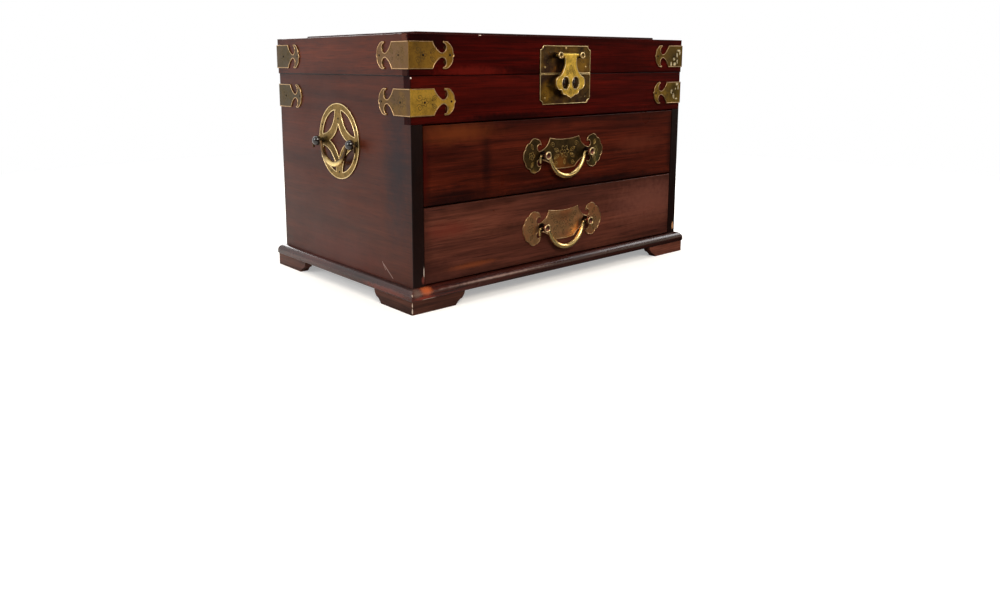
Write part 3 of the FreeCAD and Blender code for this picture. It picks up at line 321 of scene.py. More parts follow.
@dataclass(frozen=True)
class PlainTimber:
    """Unfinished camphor wood, sawn and planed, for the parts out of sight. Pale, matt and straight grained."""

    ground: str = "#7d5233"
    dark: str = "#55331d"
    ring_mm: float = 7.0
    fibre_mm: float = 0.9

    def material(self, name: str, grain: Grain) -> Material:
        """Make the finish for boards whose grain runs one way."""
        recipe = Recipe("camphor_wood_" + name)
        add = recipe.add
        run = add("Mapping", {"Vector": recipe.place, "Scale": grain.stretch(0.06)})
        rings = add("TexNoise", patches(run, self.ring_mm, 5.0, Roughness=0.6, Distortion=0.8))
        tone = add("ValToRGB", [rings], [(0.35, self.ground), (0.68, self.dark)])
        fibres = add("TexNoise", patches(run, self.fibre_mm, 2.0))
        relief = add("Bump", {"Height": fibres, "Distance": 0.08 * MM, "Strength": 0.6})
        return recipe.finish({"Base Color": tone, "Roughness": 0.62, "Normal": relief})


@dataclass(frozen=True)
class Brass:
    """Sheet or cast yellow brass, hand filed, then tarnished by age and brightened again where hands touch it.

    The metal keeps a warm gold mirror only in its clean patches. Olive and brown tarnish dulls the rest, in soft
    clouds, under a fine stipple of file marks and specks a millimetre or two across.
    """

    clean: str
    tarnish: str
    stain: str
    tarnish_share: float
    roughness: float
    cloud_mm: float = 14.0
    speck_mm: float = 1.7
    drift_mm: float = 22.0
    file_mm: float = 1.1
    stipple: float = 0.45
    filed: float = 0.5
    painted_side_shade: str = ""
    blush: str = "#8a5238"
    blush_share: float = 0.0
    dark_above: Point | None = None
    marks: tuple[Mark, ...] = ()

    def material(self, name: str) -> Material:
        """Make the finish, for pieces of any shape. Faces that don't look to the front take a darker colour, painted
        shade.
        """
        recipe = Recipe(name)
        add = recipe.add
        clouds = add("TexNoise", patches(recipe.place, self.cloud_mm, 6.0, Roughness=0.58, Distortion=0.4))
        edge = self.tarnish_share * 0.5
        share = add("MapRange", [clouds, 0.60 - edge, 1.0 - edge])
        if self.dark_above:
            low, high = self.dark_above
            height = add("SeparateXYZ", [recipe.place]).outputs[2]
            lift = add("MapRange", [height, low * MM, high * MM], interpolation_type="SMOOTHSTEP")
            share = add("Math", [share, lift], operation="MAXIMUM")
        clean = self.clean
        # Painted shade: faces turned away from the front take a darker colour.
        if self.painted_side_shade:
            front = add("VectorMath", [recipe.at["Normal"], (0, -1, 0)], operation="DOT_PRODUCT").outputs["Value"]
            clean = add("MixRGB", [add("MapRange", [front, 0.4, 0.8]), self.painted_side_shade, clean])
        metal = add("MixRGB", [share, clean, self.tarnish])
        specks = add("TexNoise", patches(recipe.place, self.speck_mm, 4.0, Roughness=0.75))
        metal = add("MixRGB", [add("MapRange", [specks, 0.48, 0.70, 0.0, self.stipple]), metal, self.stain])
        drift = add("TexNoise", patches(recipe.place, self.drift_mm, 2.0))
        metal = add("MixRGB", [add("MapRange", [drift, 0.48, 0.64, 0.0, self.blush_share]), metal, self.blush])
        metal = recipe.marked(metal, self.marks)
        dull = add("MapRange", [clouds, 0.3, 0.7, self.roughness - 0.05, self.roughness + 0.10])
        filing = add("TexNoise", patches(recipe.place, self.file_mm, 3.0))
        relief = add("Bump", {"Height": filing, "Distance": 0.05 * MM, "Strength": self.filed})
        return recipe.finish({"Base Color": metal, "Metallic": 1.0, "Roughness": dull, "Normal": relief})


@dataclass(frozen=True)
class Lacquer:
    """Thick dark lacquer, dipped and polished. It gives a near black surface with small sharp highlights."""

    colour: str
    tint: str
    coat: float = 0.6
    depth_mm: float = 4.0
    dent_mm: float = 2.5

    def material(self, name: str) -> Material:
        """Make the finish."""
        recipe = Recipe(name)
        add = recipe.add
        depth = add("TexNoise", patches(recipe.place, self.depth_mm, 4.0))
        tone = add("ValToRGB", [depth], [(0.35, self.colour), (0.70, self.tint)])
        dents = add("TexNoise", patches(recipe.place, self.dent_mm, 2.0))
        relief = add("Bump", {"Height": dents, "Distance": 0.08 * MM, "Strength": 0.4})
        return recipe.finish({"Base Color": tone, "Roughness": 0.16, "Normal": relief, "Specular IOR Level": 0.4,
                              "Coat Weight": self.coat, "Coat Roughness": 0.05})


@dataclass(frozen=True)
class CutLine:
    """The wax and tarnish in an engraver's cuts. It reads as a fine line on the metal, dark, or bright where worn."""

    colour: str = "#43351a"
    light: str = "#665224"
    roughness: float = 0.6
    patch_mm: float = 3.0

    def material(self, name: str) -> Material:
        """Make the finish of engraved lines."""
        recipe = Recipe(name)
        waxy = recipe.add("TexNoise", patches(recipe.place, self.patch_mm, 3.0))
        tone = recipe.add("ValToRGB", [waxy], [(0.4, self.colour), (0.7, self.light)])
        return recipe.finish({"Base Color": tone, "Metallic": 0.8, "Roughness": self.roughness})


@dataclass(frozen=True)
class Silk:
    """Plain woven silk over thin wadding. The weave is drawn at 0.6 mm, coarser than real silk, so that it shows."""

    colour: str = "#6a0f18"
    shade: str = "#4c0a11"
    thread_mm: float = 0.6
    slub_mm: float = 18.0

    def material(self) -> Material:
        """Make the finish of the linings."""
        recipe = Recipe("woven_silk")
        add = recipe.add
        rate = 2 * math.pi / (self.thread_mm * MM)
        split = add("SeparateXYZ", [recipe.place])
        angles = [add("Math", [axis, rate], operation="MULTIPLY") for axis in split.outputs[:2]]
        weave = add("Math", [add("Math", [angle], operation="SINE") for angle in angles], operation="MULTIPLY")
        relief = add("Bump", {"Height": weave, "Distance": 0.05 * MM, "Strength": 0.5})
        slubs = add("TexNoise", patches(recipe.place, self.slub_mm, 4.0))
        tone = add("ValToRGB", [slubs], [(0.3, self.shade), (0.7, self.colour)])
        return recipe.finish({"Base Color": tone, "Roughness": 0.55, "Normal": relief, "Sheen Weight": 0.25,
                              "Sheen Roughness": 0.4})


@dataclass(frozen=True)
class Silvering:
    """Silvered plate glass. A clear cold reflection with faint clouding where the silver has aged."""

    clear: str = "#dfe4e3"
    clouded: str = "#d5d9d5"
    spot_mm: float = 30.0

    def material(self) -> Material:
        """Make the finish of the mirror."""
        recipe = Recipe("silvered_glass")
        spots = recipe.add("TexNoise", patches(recipe.place, self.spot_mm, 5.0))
        haze = recipe.add("MapRange", [spots, 0.5, 0.8, 0.02, 0.06])
        tone = recipe.add("ValToRGB", [spots], [(0.4, self.clear), (0.75, self.clouded)])
        return recipe.finish({"Base Color": tone, "Metallic": 1.0, "Roughness": haze})


@dataclass(frozen=True)
class Panel:
    """A flat working plane on the chest, with places in millimetres across, up and out of it."""

    origin: Array
    across: Array
    up: Array
    out: Array

    def place(self, across: Array, up: Array, out: Array) -> Array:
        """Turn places on the panel into points in metres.

        Args:
            across: Distances across, in millimetres.
            up: Distances up.
            out: Distances out of the panel.

        Returns:
            An array of the same shape with a last axis of 3: origin plus each distance along its direction.
        """
        flat = across[..., None] * self.across + up[..., None] * self.up + out[..., None] * self.out
        return self.origin + flat * MM

    def moved(self, across: float = 0.0, up: float = 0.0, out: float = 0.0) -> "Panel":
        """Return the same plane with its origin moved by millimetres."""
        return replace(self, origin=self.origin + (across * self.across + up * self.up + out * self.out) * MM)


def box(node: str) -> tuple[Array, Array]:
    """Return a part's lowest and highest corner, in metres."""
    low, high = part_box(node)
    return np.array(low), np.array(high)


def turns(count: int) -> Array:
    """Angles at even steps round a full turn."""
    return np.linspace(0, 2 * math.pi, count, endpoint=False)


def oval(angle: Array, wide: float | Array, tall: float | Array, x: float = 0.0, y: float = 0.0) -> Array:
    """Points round a middle: the half width times the cosine across, the half height times the sine up."""
    return np.stack([x + wide * np.cos(angle), y + tall * np.sin(angle)], 1)


def lefts(line: Array, closed: bool = False) -> Array:
    """Unit vectors to the left of a line at each of its points, square to the run between its neighbours."""
    along = np.roll(line, -1, 0) - np.roll(line, 1, 0) if closed else np.gradient(line, axis=0)
    along = along / np.maximum(np.linalg.norm(along, axis=1, keepdims=True), 1e-9)
    return np.stack([-along[:, 1], along[:, 0]], 1)


def arc(start: Point, through: Point, end: Point, count: int = 16) -> Array:
    """Points on the circle through three points.

    With the points as complex numbers a, b and c, and w = (c - a) / (b - a), the centre is
    a + (b - a)(w - |w|^2) / (2i Im w). The angle runs evenly from start to end by way of the middle point.

    Args:
        start: First point.
        through: A point between the ends.
        end: Last point.
        count: How many points, without the first.

    Returns:
        An array of count points.
    """
    a, b, c = complex(*start), complex(*through), complex(*end)
    w = (c - a) / (b - a)
    centre = a + (b - a) * (w - abs(w) ** 2) / (2j * w.imag)
    turn = 1 if ((b - a).conjugate() * (c - b)).imag > 0 else -1
    first = np.angle(a - centre)
    swing = (turn * (np.angle(c - centre) - first)) % (2 * math.pi)
    radius = abs(a - centre)
    return oval(first + turn * np.linspace(0, swing, count + 1)[1:], radius, radius, centre.real, centre.imag)


def outline(start: Point, *steps: Point | tuple[Point, Point]) -> Array:
    """Points along lines and arcs. A step is a point, for a line, or a pair (through, end), for an arc."""
    runs = [np.array([start], float)]
    for step in steps:
        last = tuple(runs[-1][-1])
        runs.append(arc(last, *step) if isinstance(step[0], tuple) else np.array([step], float))
    return np.concatenate(runs)


def with_mirror(half: Array, axis: int = 0) -> Array:
    """Close a half outline with its own mirror image, where one coordinate changes sign."""
    other = half[::-1].copy()
    other[:, axis] *= -1
    return np.concatenate([half, other[1:]])


def evened(line: Array, step: float, closed: bool) -> Array:
    """Points at even distances along a polyline, found from its running length.

    Args:
        line: The polyline's points.
        step: The distance wanted, in millimetres.
        closed: Whether the last point joins the first.

    Returns:
        The new points.
    """
    line = np.concatenate([line, line[:1]]) if closed else line
    gaps = np.linalg.norm(np.diff(line, axis=0), axis=1)
    line = line[np.concatenate([[True], gaps > 1e-6])]
    length = np.concatenate([[0], np.cumsum(np.linalg.norm(np.diff(line, axis=0), axis=1))])
    count = max(4, int(round(length[-1] / step)))
    at = np.linspace(0, length[-1], count + 1)[:count if closed else count + 1]
    return np.stack([np.interp(at, length, line[:, 0]), np.interp(at, length, line[:, 1])], 1)


@dataclass
class Surface:
    """Points and faces that grow into one piece."""

    points: list[Array] = field(default_factory=list)
    faces: list[list[int]] = field(default_factory=list)
    count: int = 0

    def grid(self, points: Array, wrap_rows: bool = False, wrap_columns: bool = False, capped: bool = False) -> None:
        """Add a grid of points.

        Args:
            points: Rows by columns by 3, in metres.
            wrap_rows: Whether the last row joins the first.
            wrap_columns: Whether each row joins up.
            capped: Whether the first and last rows are closed with a face.
        """
        rows, columns = points.shape[:2]
        i, j = np.meshgrid(np.arange(rows if wrap_rows else rows - 1),
                           np.arange(columns if wrap_columns else columns - 1), indexing="ij")
        k, m = (i + 1) % rows, (j + 1) % columns
        quads = np.stack([i * columns + j, k * columns + j, k * columns + m, i * columns + m], -1)
        self.faces += (quads.reshape(-1, 4) + self.count).tolist()
        if capped:
            ring, last = np.arange(columns) + self.count, (rows - 1) * columns
            self.faces += [ring[::-1].tolist(), (ring + last).tolist()]
        self.points.append(points.reshape(-1, 3))
        self.count += rows * columns

    def item(self, name: str, material: Material, smooth: bool = True) -> Item:
        """Make the object, with its faces turned outwards and its finish."""
        mesh = bpy.data.meshes.new(name)
        mesh.from_pydata(np.concatenate(self.points).tolist(), [], self.faces)
        mesh.polygons.foreach_set("use_smooth", [smooth] * len(mesh.polygons))
        mesh.materials.append(material)
        work = bmesh.new()
        work.from_mesh(mesh)
        bmesh.ops.recalc_face_normals(work, faces=work.faces)
        work.to_mesh(mesh)
        work.free()
        item = bpy.data.objects.new(name, mesh)
        bpy.context.scene.collection.objects.link(item)
        return item

    def piece(self, name: str, material: Material, slot: str, body: str, smooth: bool = True) -> Item:
        """Make the object and hang it on the body that carries it.

        Args:
            name: The piece's name.
            material: Its finish.
            slot: Not used.
            body: The body that carries it.
            smooth: Whether it is shaded smooth.

        Returns:
            The new object.
        """
        item = self.item(name, material, smooth)
        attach(item, body)
        LOG.info("%s: %d faces on %s", name, len(self.faces), body)
        return item


def carried(surface: Surface, panel: Panel, line: Array, profile: Array, closed: bool, step: float = 0.7) -> None:
    """Carry a small profile along a line on a panel.

    Each row is a copy of the profile at a point of the line: the point plus the line's left normal times the
    profile's first number, raised out of the panel by its second.

    Args:
        surface: Takes the strip.
        panel: The plane of the line.
        line: Points of the line, in millimetres.
        profile: Pairs of (left of the line, out of the panel), as a closed ring.
        closed: Whether the line joins up.
        step: Distance between rows.
    """
    line = evened(line, step, closed)
    at = line[:, None, :] + lefts(line, closed)[:, None, :] * profile[None, :, :1]
    out = np.broadcast_to(profile[None, :, 1], at.shape[:2])
    surface.grid(panel.place(at[..., 0], at[..., 1], out), wrap_rows=closed, wrap_columns=True, capped=not closed)


def tube(surface: Surface, panel: Panel, line: Array, radii: Array, sides: int = 24) -> None:
    """Sweep a round rod along a line in a panel's plane.

    Each ring is the line's point plus its radius times the cosine of the ring's angle along the line's left normal,
    and times the sine out of the panel.

    Args:
        surface: Takes the rod.
        panel: The plane of the line.
        line: Points of the line, in millimetres.
        radii: The rod's radius at each point.
        sides: Points in a ring.
    """
    angle = turns(sides)
    at = line[:, None, :] + (radii[:, None] * np.cos(angle))[..., None] * lefts(line)[:, None, :]
    out = radii[:, None] * np.sin(angle)
    surface.grid(panel.place(at[..., 0], at[..., 1], out), wrap_columns=True, capped=True)


def bend(start: Point, corner: Point, end: Sequence[float], count: int = 8) -> Array:
    """Points of a parabola that leaves start towards the corner and arrives at end: Bezier's quadratic curve."""
    t = np.linspace(0, 1, count)[:, None]
    return (1 - t) ** 2 * np.array(start) + 2 * t * (1 - t) * np.array(corner) + t ** 2 * np.array(end)


def bead(width: float, height: float, sunk: float, count: int = 6) -> Array:
    """A half-oval profile: half a turn of an oval above the plate, closed by a flat foot sunk into it."""
    foot = [[-width / 2, -sunk], [width / 2, -sunk]]
    return np.concatenate([oval(np.linspace(0, math.pi, count), width / 2, height), foot])


@dataclass(frozen=True)
class Places:
    """Where the chest's main faces are, in metres, read from its parts."""

    front: float
    back: float
    left: float
    right: float
    lid_left: float
    lid_right: float
    joint: float

    @classmethod
    def read(cls) -> "Places":
        """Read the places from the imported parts."""
        low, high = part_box("till_front")
        lid_low, lid_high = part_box("lid_front")
        return cls(low.y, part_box("back_board")[1].y, low.x, high.x, lid_low.x, lid_high.x, high.z)

    @property
    def middle(self) -> float:
        """Depth of the middle of the chest."""
        return (self.front + self.back) / 2

    def panel(self, way: str, lid: bool = False, height: float = 0.0, sheet: float = 0.0) -> Panel:
        """Return an outer face of the chest, with its origin at the face's middle at that height in metres.

        Args:
            way: front, back, left or right.
            lid: Whether the face is the lid's.
            height: Height of the origin.
            sheet: How far the panel stands off the wood, in metres.

        Returns:
            The panel.
        """
        left, right = (self.lid_left, self.lid_right) if lid else (self.left, self.right)
        across, out, at = {
            "front": ([1, 0, 0], [0, -1, 0], [0, self.front - sheet, height]),
            "back": ([-1, 0, 0], [0, 1, 0], [0, self.back + sheet, height]),
            "left": ([0, -1, 0], [-1, 0, 0], [left - sheet, self.middle, height]),
            "right": ([0, 1, 0], [1, 0, 0], [right + sheet, self.middle, height]),
        }[way]
        return Panel(*(np.array(v, float) for v in (at, across, [0, 0, 1], out)))


class Motif:
    """Flowers, leaves and scrolls of a common kind, as lines in millimetres."""

    @staticmethod
    def flower(x: float, y: float, radius: float, petals: int = 5) -> Lines:
        """A rosette: its radius swells and narrows with the absolute cosine of the angle, round a small ring."""
        turn = turns(60)
        reach = radius * (0.52 + 0.48 * np.abs(np.cos(petals * turn / 2)))
        eye = 0.26 * radius
        return [(oval(turn, reach, reach, x, y), True), (oval(turn[::4], eye, eye, x, y), True)]

    @staticmethod
    def leaf(x: float, y: float, angle: float, length: float, width: float) -> Lines:
        """A pointed leaf with its midrib: the half width follows a sine from stalk to tip."""
        t = np.linspace(0, 1, 12)
        c, s = math.cos(math.radians(angle)), math.sin(math.radians(angle))
        side = np.stack([length * t, width / 2 * np.sin(math.pi * t)], 1)
        ring = np.concatenate([side, (side * [1, -1])[::-1][1:-1]])
        rib = np.stack([length * t * 0.8, 0 * t], 1)
        return [(p @ np.array([[c, s], [-s, c]]) + [x, y], p is ring) for p in (ring, rib)]

    @staticmethod
    def scroll(x: float, y: float, angle: float, size: float, hand: int) -> Lines:
        """A tendril that winds in: its radius falls evenly over one and a half turns."""
        t = np.linspace(0, 1, 36)
        radius = size * (1 - 0.85 * t)
        return [(oval(math.radians(angle) + hand * t * 3 * math.pi, radius, radius, x, y), False)]


class Finishes:
    """Every brass, cloth and glass finish on the chest, made once."""

    def __init__(self, places: Places) -> None:
        """Make them all. Heights and fronts are in millimetres."""
        self.front, self.joint = places.front / MM, places.joint / MM
        # The first mark is painted shade on the back left brackets; the second is olive tarnish on the right ones.
        self.shade_and_tarnish = (Mark((-191, places.back / MM - 18, self.joint), (12, 44, 90), "#4a4332", 0.75, 1.0, 9.0),
                       Mark((176, self.front, self.joint), (52, 9, 80), "#5c4c22", 0.75, 0.9, 5.0))
        self.case_bracket = Brass("#e0b24a", "#86652e", "#5a4420", 0.28, 0.42, painted_side_shade="#5f4830", marks=self.glints(
            -21, (184, -13.5, 3.6, 2.0), (186, -17.5, 1.2, 3.2), (174, -22, 2.0, 3.4), (178, -27, 2.2, 4.0),
            (181, -19, 1.4, 1.6), (183, -30, 3.0, 1.2))).material("case_bracket_brass")
        self.lid_bracket = Brass("#a67c32", "#6b5228", "#3a2d16", 0.40, 0.44, painted_side_shade="#77593f", marks=self.glints(
            15, (184.5, 24, 4.2, 1.5), (187, 21.5, 1.3, 3.0), (182, 19, 2.0, 3.2), (176.5, 14.5, 2.4, 2.0),
            (171.5, 9, 1.5, 3.2), (178, 9, 3.0, 2.4), (182.5, 12, 1.5, 3.0))).material("lid_bracket_brass")
        self.lock = Brass("#86642c", "#3a2c1c", "#1a130b", 0.66, 0.40, cloud_mm=9.0, blush="#33202a",
                          blush_share=0.55, marks=on_front(
                              self.front, 5, (-27, self.joint - 18, 9, 11, "#b0842f", 0.6, 1.0),
                              (24, self.joint + 8, 12, 9, "#b0842f", 0.6, 1.0))).material("lock_plate_brass")
        self.upper_pull = Brass("#67522f", "#342b1c", "#1c160f", 0.55, 0.42, marks=on_front(
            self.front, 5, (-6, 121, 10, 9, "#b87434", 0.7, 1.2, 3.0), (6, 114, 12, 4, "#a05a2c", 0.7, 1.2, 3.0),
            (2, 134, 17, 4.5, "#241d12", 0.6, 1.0, 4.0), (-44, 109, 7, 8, "#d0ab58", 0.8, 1.0, 3.0),
            (47, 122, 6, 15, "#7d7a4c", 0.5, 1.0, 3.0))).material("upper_pull_brass")
        self.lower_pull = Brass("#dba878", "#a37b56", "#6b5240", 0.42, 0.42, blush="#dd8558", blush_share=0.5,
                                marks=on_front(self.front, 5, (4, 46, 11, 4, "#d98c66", 0.5, 1.1, 3.0),
                                               (0, 65, 20, 4, "#7c5a3c", 0.5, 1.0, 4.0))).material("lower_pull_brass")
        self.side_plate = Brass("#8e7038", "#574722", "#30260f", 0.42, 0.36,
                                cloud_mm=7.0).material("side_plate_brass")
        self.plate = Brass("#94763c", "#5a4526", "#33281a", 0.5, 0.40).material("hinge_brass")
        self.edge = Brass("#cfa97c", "#94754f", "#645038", 0.35, 0.34).material("rubbed_edge_brass")
        # Near white brass on raised rims: partly polish from handling, partly a painted highlight.
        self.polished_highlight_edge = Brass("#ffe2a8", "#c7a660", "#7d6338", 0.2, 0.30).material("polished_edge_highlight_brass")
        self.hasp = Brass("#fbd35c", "#a88438", "#64501f", 0.38, 0.33, cloud_mm=7.0).material("handled_cast_brass")
        # Painted shade: the copper posts' stems, behind their heads, are darkened near black.
        stem_shade = Mark((0, self.front - 2, 92), (200, 6.4, 200), "#1c130e", 0.96, 0.1)
        shade = Mark((0, self.front - 2, self.joint + 17.9), (60, 5.6, 60), "#2c1f15", 0.95, 0.1)
        # Painted highlight: the nails on the lock plates are coloured pale gold.
        pale = Mark((0, self.front, self.joint), (52, 9, 52), "#e0c080", 1.0, 0.1)
        self.hasp_post = Brass("#b08c50", "#6b5230", "#3a2c1c", 0.4, 0.34, marks=(shade,)).material("hasp_post_brass")
        self.copper = Brass("#a2695c", "#5d3c36", "#2c1d19", 0.35, 0.34, cloud_mm=3.0,
                            marks=(stem_shade,)).material("copper_worn_brass")
        self.nail = Brass("#33281a", "#1c1610", "#120d08", 0.6, 0.36, marks=(pale,)).material("nail_brass")
        self.ball = Lacquer("#0b0807", "#241a15").material("black_lacquer")
        self.lug = Lacquer("#0d0308", "#241018", 0.25).material("garnet_lacquer")
        self.cut = CutLine().material("engraved_cut")
        self.bright_cut = CutLine("#9a7838", "#f0c878", 0.35).material("rubbed_engraving")
        self.silk = Silk().material()
        self.mirror = Silvering().material()

    def glints(self, rise: float, *spots: Sequence[float]) -> tuple[Mark, ...]:
        """Return a bracket's painted shade and olive tarnish, a dark patch, and its painted glints, short bright
        strokes.

        Args:
            rise: Height of the dark patch over the joint.
            spots: Each stroke's place across and over the joint, and its reach across and up.

        Returns:
            The marks.
        """
        # Painted highlights: bright cream strokes stand in for glints of light on the dented sheet.
        glint_strokes = [(x, self.joint + up, wide, tall, "#fff0c8", 0.95, 0.4, 2.0) for x, up, wide, tall in spots]
        dents = (178, self.joint + rise, 11, 12, "#2e2610", 0.55, 0.8, 3.0)
        return (*self.shade_and_tarnish, *on_front(self.front, 4, dents, *glint_strokes))

    @staticmethod
    def bail(name: str, low: float, high: float, bright: Point) -> Material:
        """A bail's cast brass: bright at the bottom and dark towards its posts, partly wear from handling, partly a
        painted highlight low down and painted shade on the arms.

        Args:
            name: The body it hangs on.
            low: Height of its lowest point, in millimetres.
            high: Height of its pins.
            bright: The shares of that height where the dark begins and where it is full.

        Returns:
            The material.
        """
        start, full = (low + share * (high - low) for share in bright)
        return Brass("#ffdf96", "#4f3c28", "#33271a", 0.10, 0.26, stipple=0.15, filed=0.06,
                     dark_above=(start, full)).material(name + "_cast_brass")


@dataclass
class Brasswork:
    """Raised rims and engraving on the brass plates, in millimetres."""

    places: Places
    finishes: Finishes
    sheet: float = 0.9
    rim_width: float = 0.8
    rim_height: float = 0.3
    cut_width: float = 0.4
    sunk: float = 0.1

    def rims(self, surface: Surface, panel: Panel, line: Array, closed: bool = True) -> None:
        """Carry the raised rim along an outline, just inside it. The outline runs anticlockwise."""
        shape = bead(self.rim_width, self.rim_height, self.sunk)
        carried(surface, panel, line, shape + [self.rim_width / 2 + self.sunk, 0], closed)

    def cuts(self, surface: Surface, panel: Panel, lines: Lines) -> None:
        """Lay fine engraved lines on a plate."""
        for line, closed in lines:
            carried(surface, panel, line, bead(self.cut_width, self.sunk / 2, self.sunk / 2, 3), closed, 0.5)

    def finish(self, name: str, rims: Surface, cuts: Surface, body: str, edge: Material | None = None,
               cut: Material | None = None, slot: str = "aged_brass") -> None:
        """Make the rim piece and the engraving piece of one body's plates."""
        rims.piece(name + "_rims", edge or self.finishes.edge, slot, body)
        if cuts.points:
            cuts.piece(name + "_engraving", cut or self.finishes.cut, "aged_brass", body)

    def heads(self, name: str, body: str, panel: Panel, spacing: float, face: float, ring: Triple) -> None:
        """Carry a round bead round the head of each of two posts.

        Args:
            name: What the posts are called.
            body: The body that carries them.
            panel: The plane of the plate, with its origin between the posts.
            spacing: Distance between the posts.
            face: How far the heads' faces stand off the wood.
            ring: Radius of the bead's line, and the bead's width and height.
        """
        surface, (radius, width, height) = Surface(), ring
        for hand in (-1, 1):
            carried(surface, panel.moved(hand * spacing / 2, out=face - self.sheet), oval(turns(48), radius, radius),
                    bead(width, height, self.sunk), True, 0.5)
        self.finish(name + "_post", surface, Surface(), body, self.finishes.polished_highlight_edge, slot="bright_brass")


@dataclass
class CornerBrackets(Brasswork):
    """The hooked brackets round the case's and the lid's corners."""

    height: float = 24.0
    reach: float = 49.0
    arm: float = 25.0
    lid_rise: float = 17.6
    case_drop: float = 23.0

    def wing(self) -> Array:
        """Outline of one arm, from the corner at zero along the top to the tip and back below."""
        half, zone = self.height / 2, self.reach - self.arm

        def at(along: float, up: float) -> Point:
            """A place in the hooked end, as shares of its length and half height."""
            return self.arm + along * zone, up * half

        top = outline((0.2, half), at(0, 1), (at(0.16, 0.49), at(0.34, 0.21)), (at(0.60, 0.47), at(0.53, 0.85)),
                      (at(0.46, 0.93), at(0.53, 1)), (at(0.69, 0.96), at(0.80, 0.78)),
                      (at(0.91, 0.52), at(0.94, 0.18)), at(1, 0))
        return with_mirror(top, 1)[::-1]

    def engraving(self, side: bool) -> Lines:
        """Lines on one arm: a flower between leaves on the case's sides, scrolls elsewhere."""
        lines = Motif.flower(14.5, 0, 5.2 if side else 3.8)
        for hand in (-1, 1):
            lines += Motif.leaf(22, 1.5 * hand, 35 * hand, 8, 3.4)
            lines += Motif.scroll(9, 4.5 * hand, 180 + 20 * hand, 3.4, hand)
            lines += Motif.scroll(38.5, 6.0 * hand, 180 + 120 * hand, 2.4, hand)
        return lines

    def build(self) -> None:
        """Dress the eight brackets."""
        places = self.places
        for name, lid, rise in (("lid", True, self.lid_rise), ("case", False, -self.case_drop)):
            rims, cuts = Surface(), Surface()
            for way in ("front", "back", "left", "right"):
                panel = places.panel(way, lid, places.joint + rise * MM, self.sheet * MM)
                side = way in ("left", "right")
                wide = places.back - places.middle if side else places.lid_right if lid else places.right
                for hand in (-1, 1):
                    flip = replace(panel, origin=panel.origin + panel.across * hand * wide,
                                   across=-hand * panel.across)
                    self.rims(rims, flip, self.wing(), closed=False)
                    self.cuts(cuts, flip, self.engraving(side and not lid))
            self.finish(name + "_bracket", rims, cuts, name)


@dataclass
class Lock(Brasswork):
    """The two lock plates and the hasp."""

    width: float = 72.0
    upper: float = 27.6
    lower: float = 30.0
    corner: float = 4.0
    edge: float = 0.15
    pivot: float = 17.9
    neck: float = 16.6
    hasp_width: float = 41.2
    widest: float = 25.3
    length: float = 42.5
    eye_spacing: float = 14.2
    eye_drop: float = 27.0
    eye_width: float = 9.4
    eye_height: float = 12.0
    hasp_face: float = 7.9
    post_spacing: float = 31.0
    post_face: float = 9.2
    post_ring: Triple = (2.7, 1.1, 0.45)

    def plate(self, height: float, way: int) -> Array:
        """Outline of a plate above (way 1) or below (way -1) the joint, with its far corners scooped out."""
        half, near, far = self.width / 2, way * self.edge, way * height
        scoop = self.corner * math.sin(math.pi / 4)
        right = outline((0, near), (half, near), (half, far - way * self.corner),
                        ((half - scoop, far - way * scoop), (half - self.corner, far)), (0, far))
        return with_mirror(right)[:-1][::way]

    def leaf(self) -> Array:
        """Outline of the hasp below its pin, open at the neck."""
        neck, half, tail = self.neck / 2, self.hasp_width / 2, self.length - self.widest

        def lobe(across: float, down: float) -> Point:
            """A place in the scalloped tail."""
            return across * half, -self.widest - down * tail

        right = outline((neck, -2.6), (neck, -0.36 * self.widest),
                        ((neck + 0.23 * (half - neck), -0.62 * self.widest), (0.74 * half, -0.79 * self.widest)),
                        ((0.94 * half, -0.88 * self.widest), (half, -self.widest)),
                        (lobe(0.93, 0.34), lobe(0.61, 0.50)),
                        (lobe(0.55, 0.69), lobe(0.31, 0.77)), (lobe(0.21, 0.87), lobe(0.08, 0.91)), lobe(0, 1))
        return with_mirror(right)[::-1]

    def build(self) -> None:
        """Dress the lock plates and the hasp."""
        panel = self.places.panel("front", height=self.places.joint, sheet=self.sheet * MM)
        for body, height, way in (("lid", self.upper, 1), ("case", self.lower, -1)):
            rims, cuts = Surface(), Surface()
            self.rims(rims, panel, self.plate(height, way))
            for hand in (-1, 1):
                lines = Motif.scroll(hand * 29, way * height * 0.62, 90 - 90 * hand, 4.2, hand * way)
                lines += Motif.leaf(hand * 27, way * height * 0.40, 90 + 70 * hand, 7, 3)
                lines += Motif.leaf(hand * 24, way * height * 0.80, 90 + 95 * hand, 7, 3)
                self.cuts(cuts, panel, lines)
            self.finish(body + "_lock_plate", rims, cuts, body, self.finishes.polished_highlight_edge)
        pin = panel.moved(up=self.pivot)
        face = pin.moved(out=self.hasp_face - self.sheet)
        rims, cuts = Surface(), Surface()
        self.rims(rims, face, self.leaf(), closed=False)
        for hand in (-1, 1):
            self.rims(rims, face, oval(turns(40)[::-1], self.eye_width / 2, self.eye_height / 2,
                                       hand * self.eye_spacing / 2, -self.eye_drop))
        self.cuts(cuts, face, Motif.leaf(0, -9, -90, 9, 4) + Motif.leaf(0, -33, -90, 6, 3)
                  + Motif.scroll(-4.5, -17, 20, 2.4, 1) + Motif.scroll(4.5, -17, 160, 2.4, -1))
        self.finish("hasp", rims, cuts, "hasp", self.finishes.polished_highlight_edge, slot="bright_brass")
        self.heads("hasp", "lid", pin, self.post_spacing, self.post_face, self.post_ring)


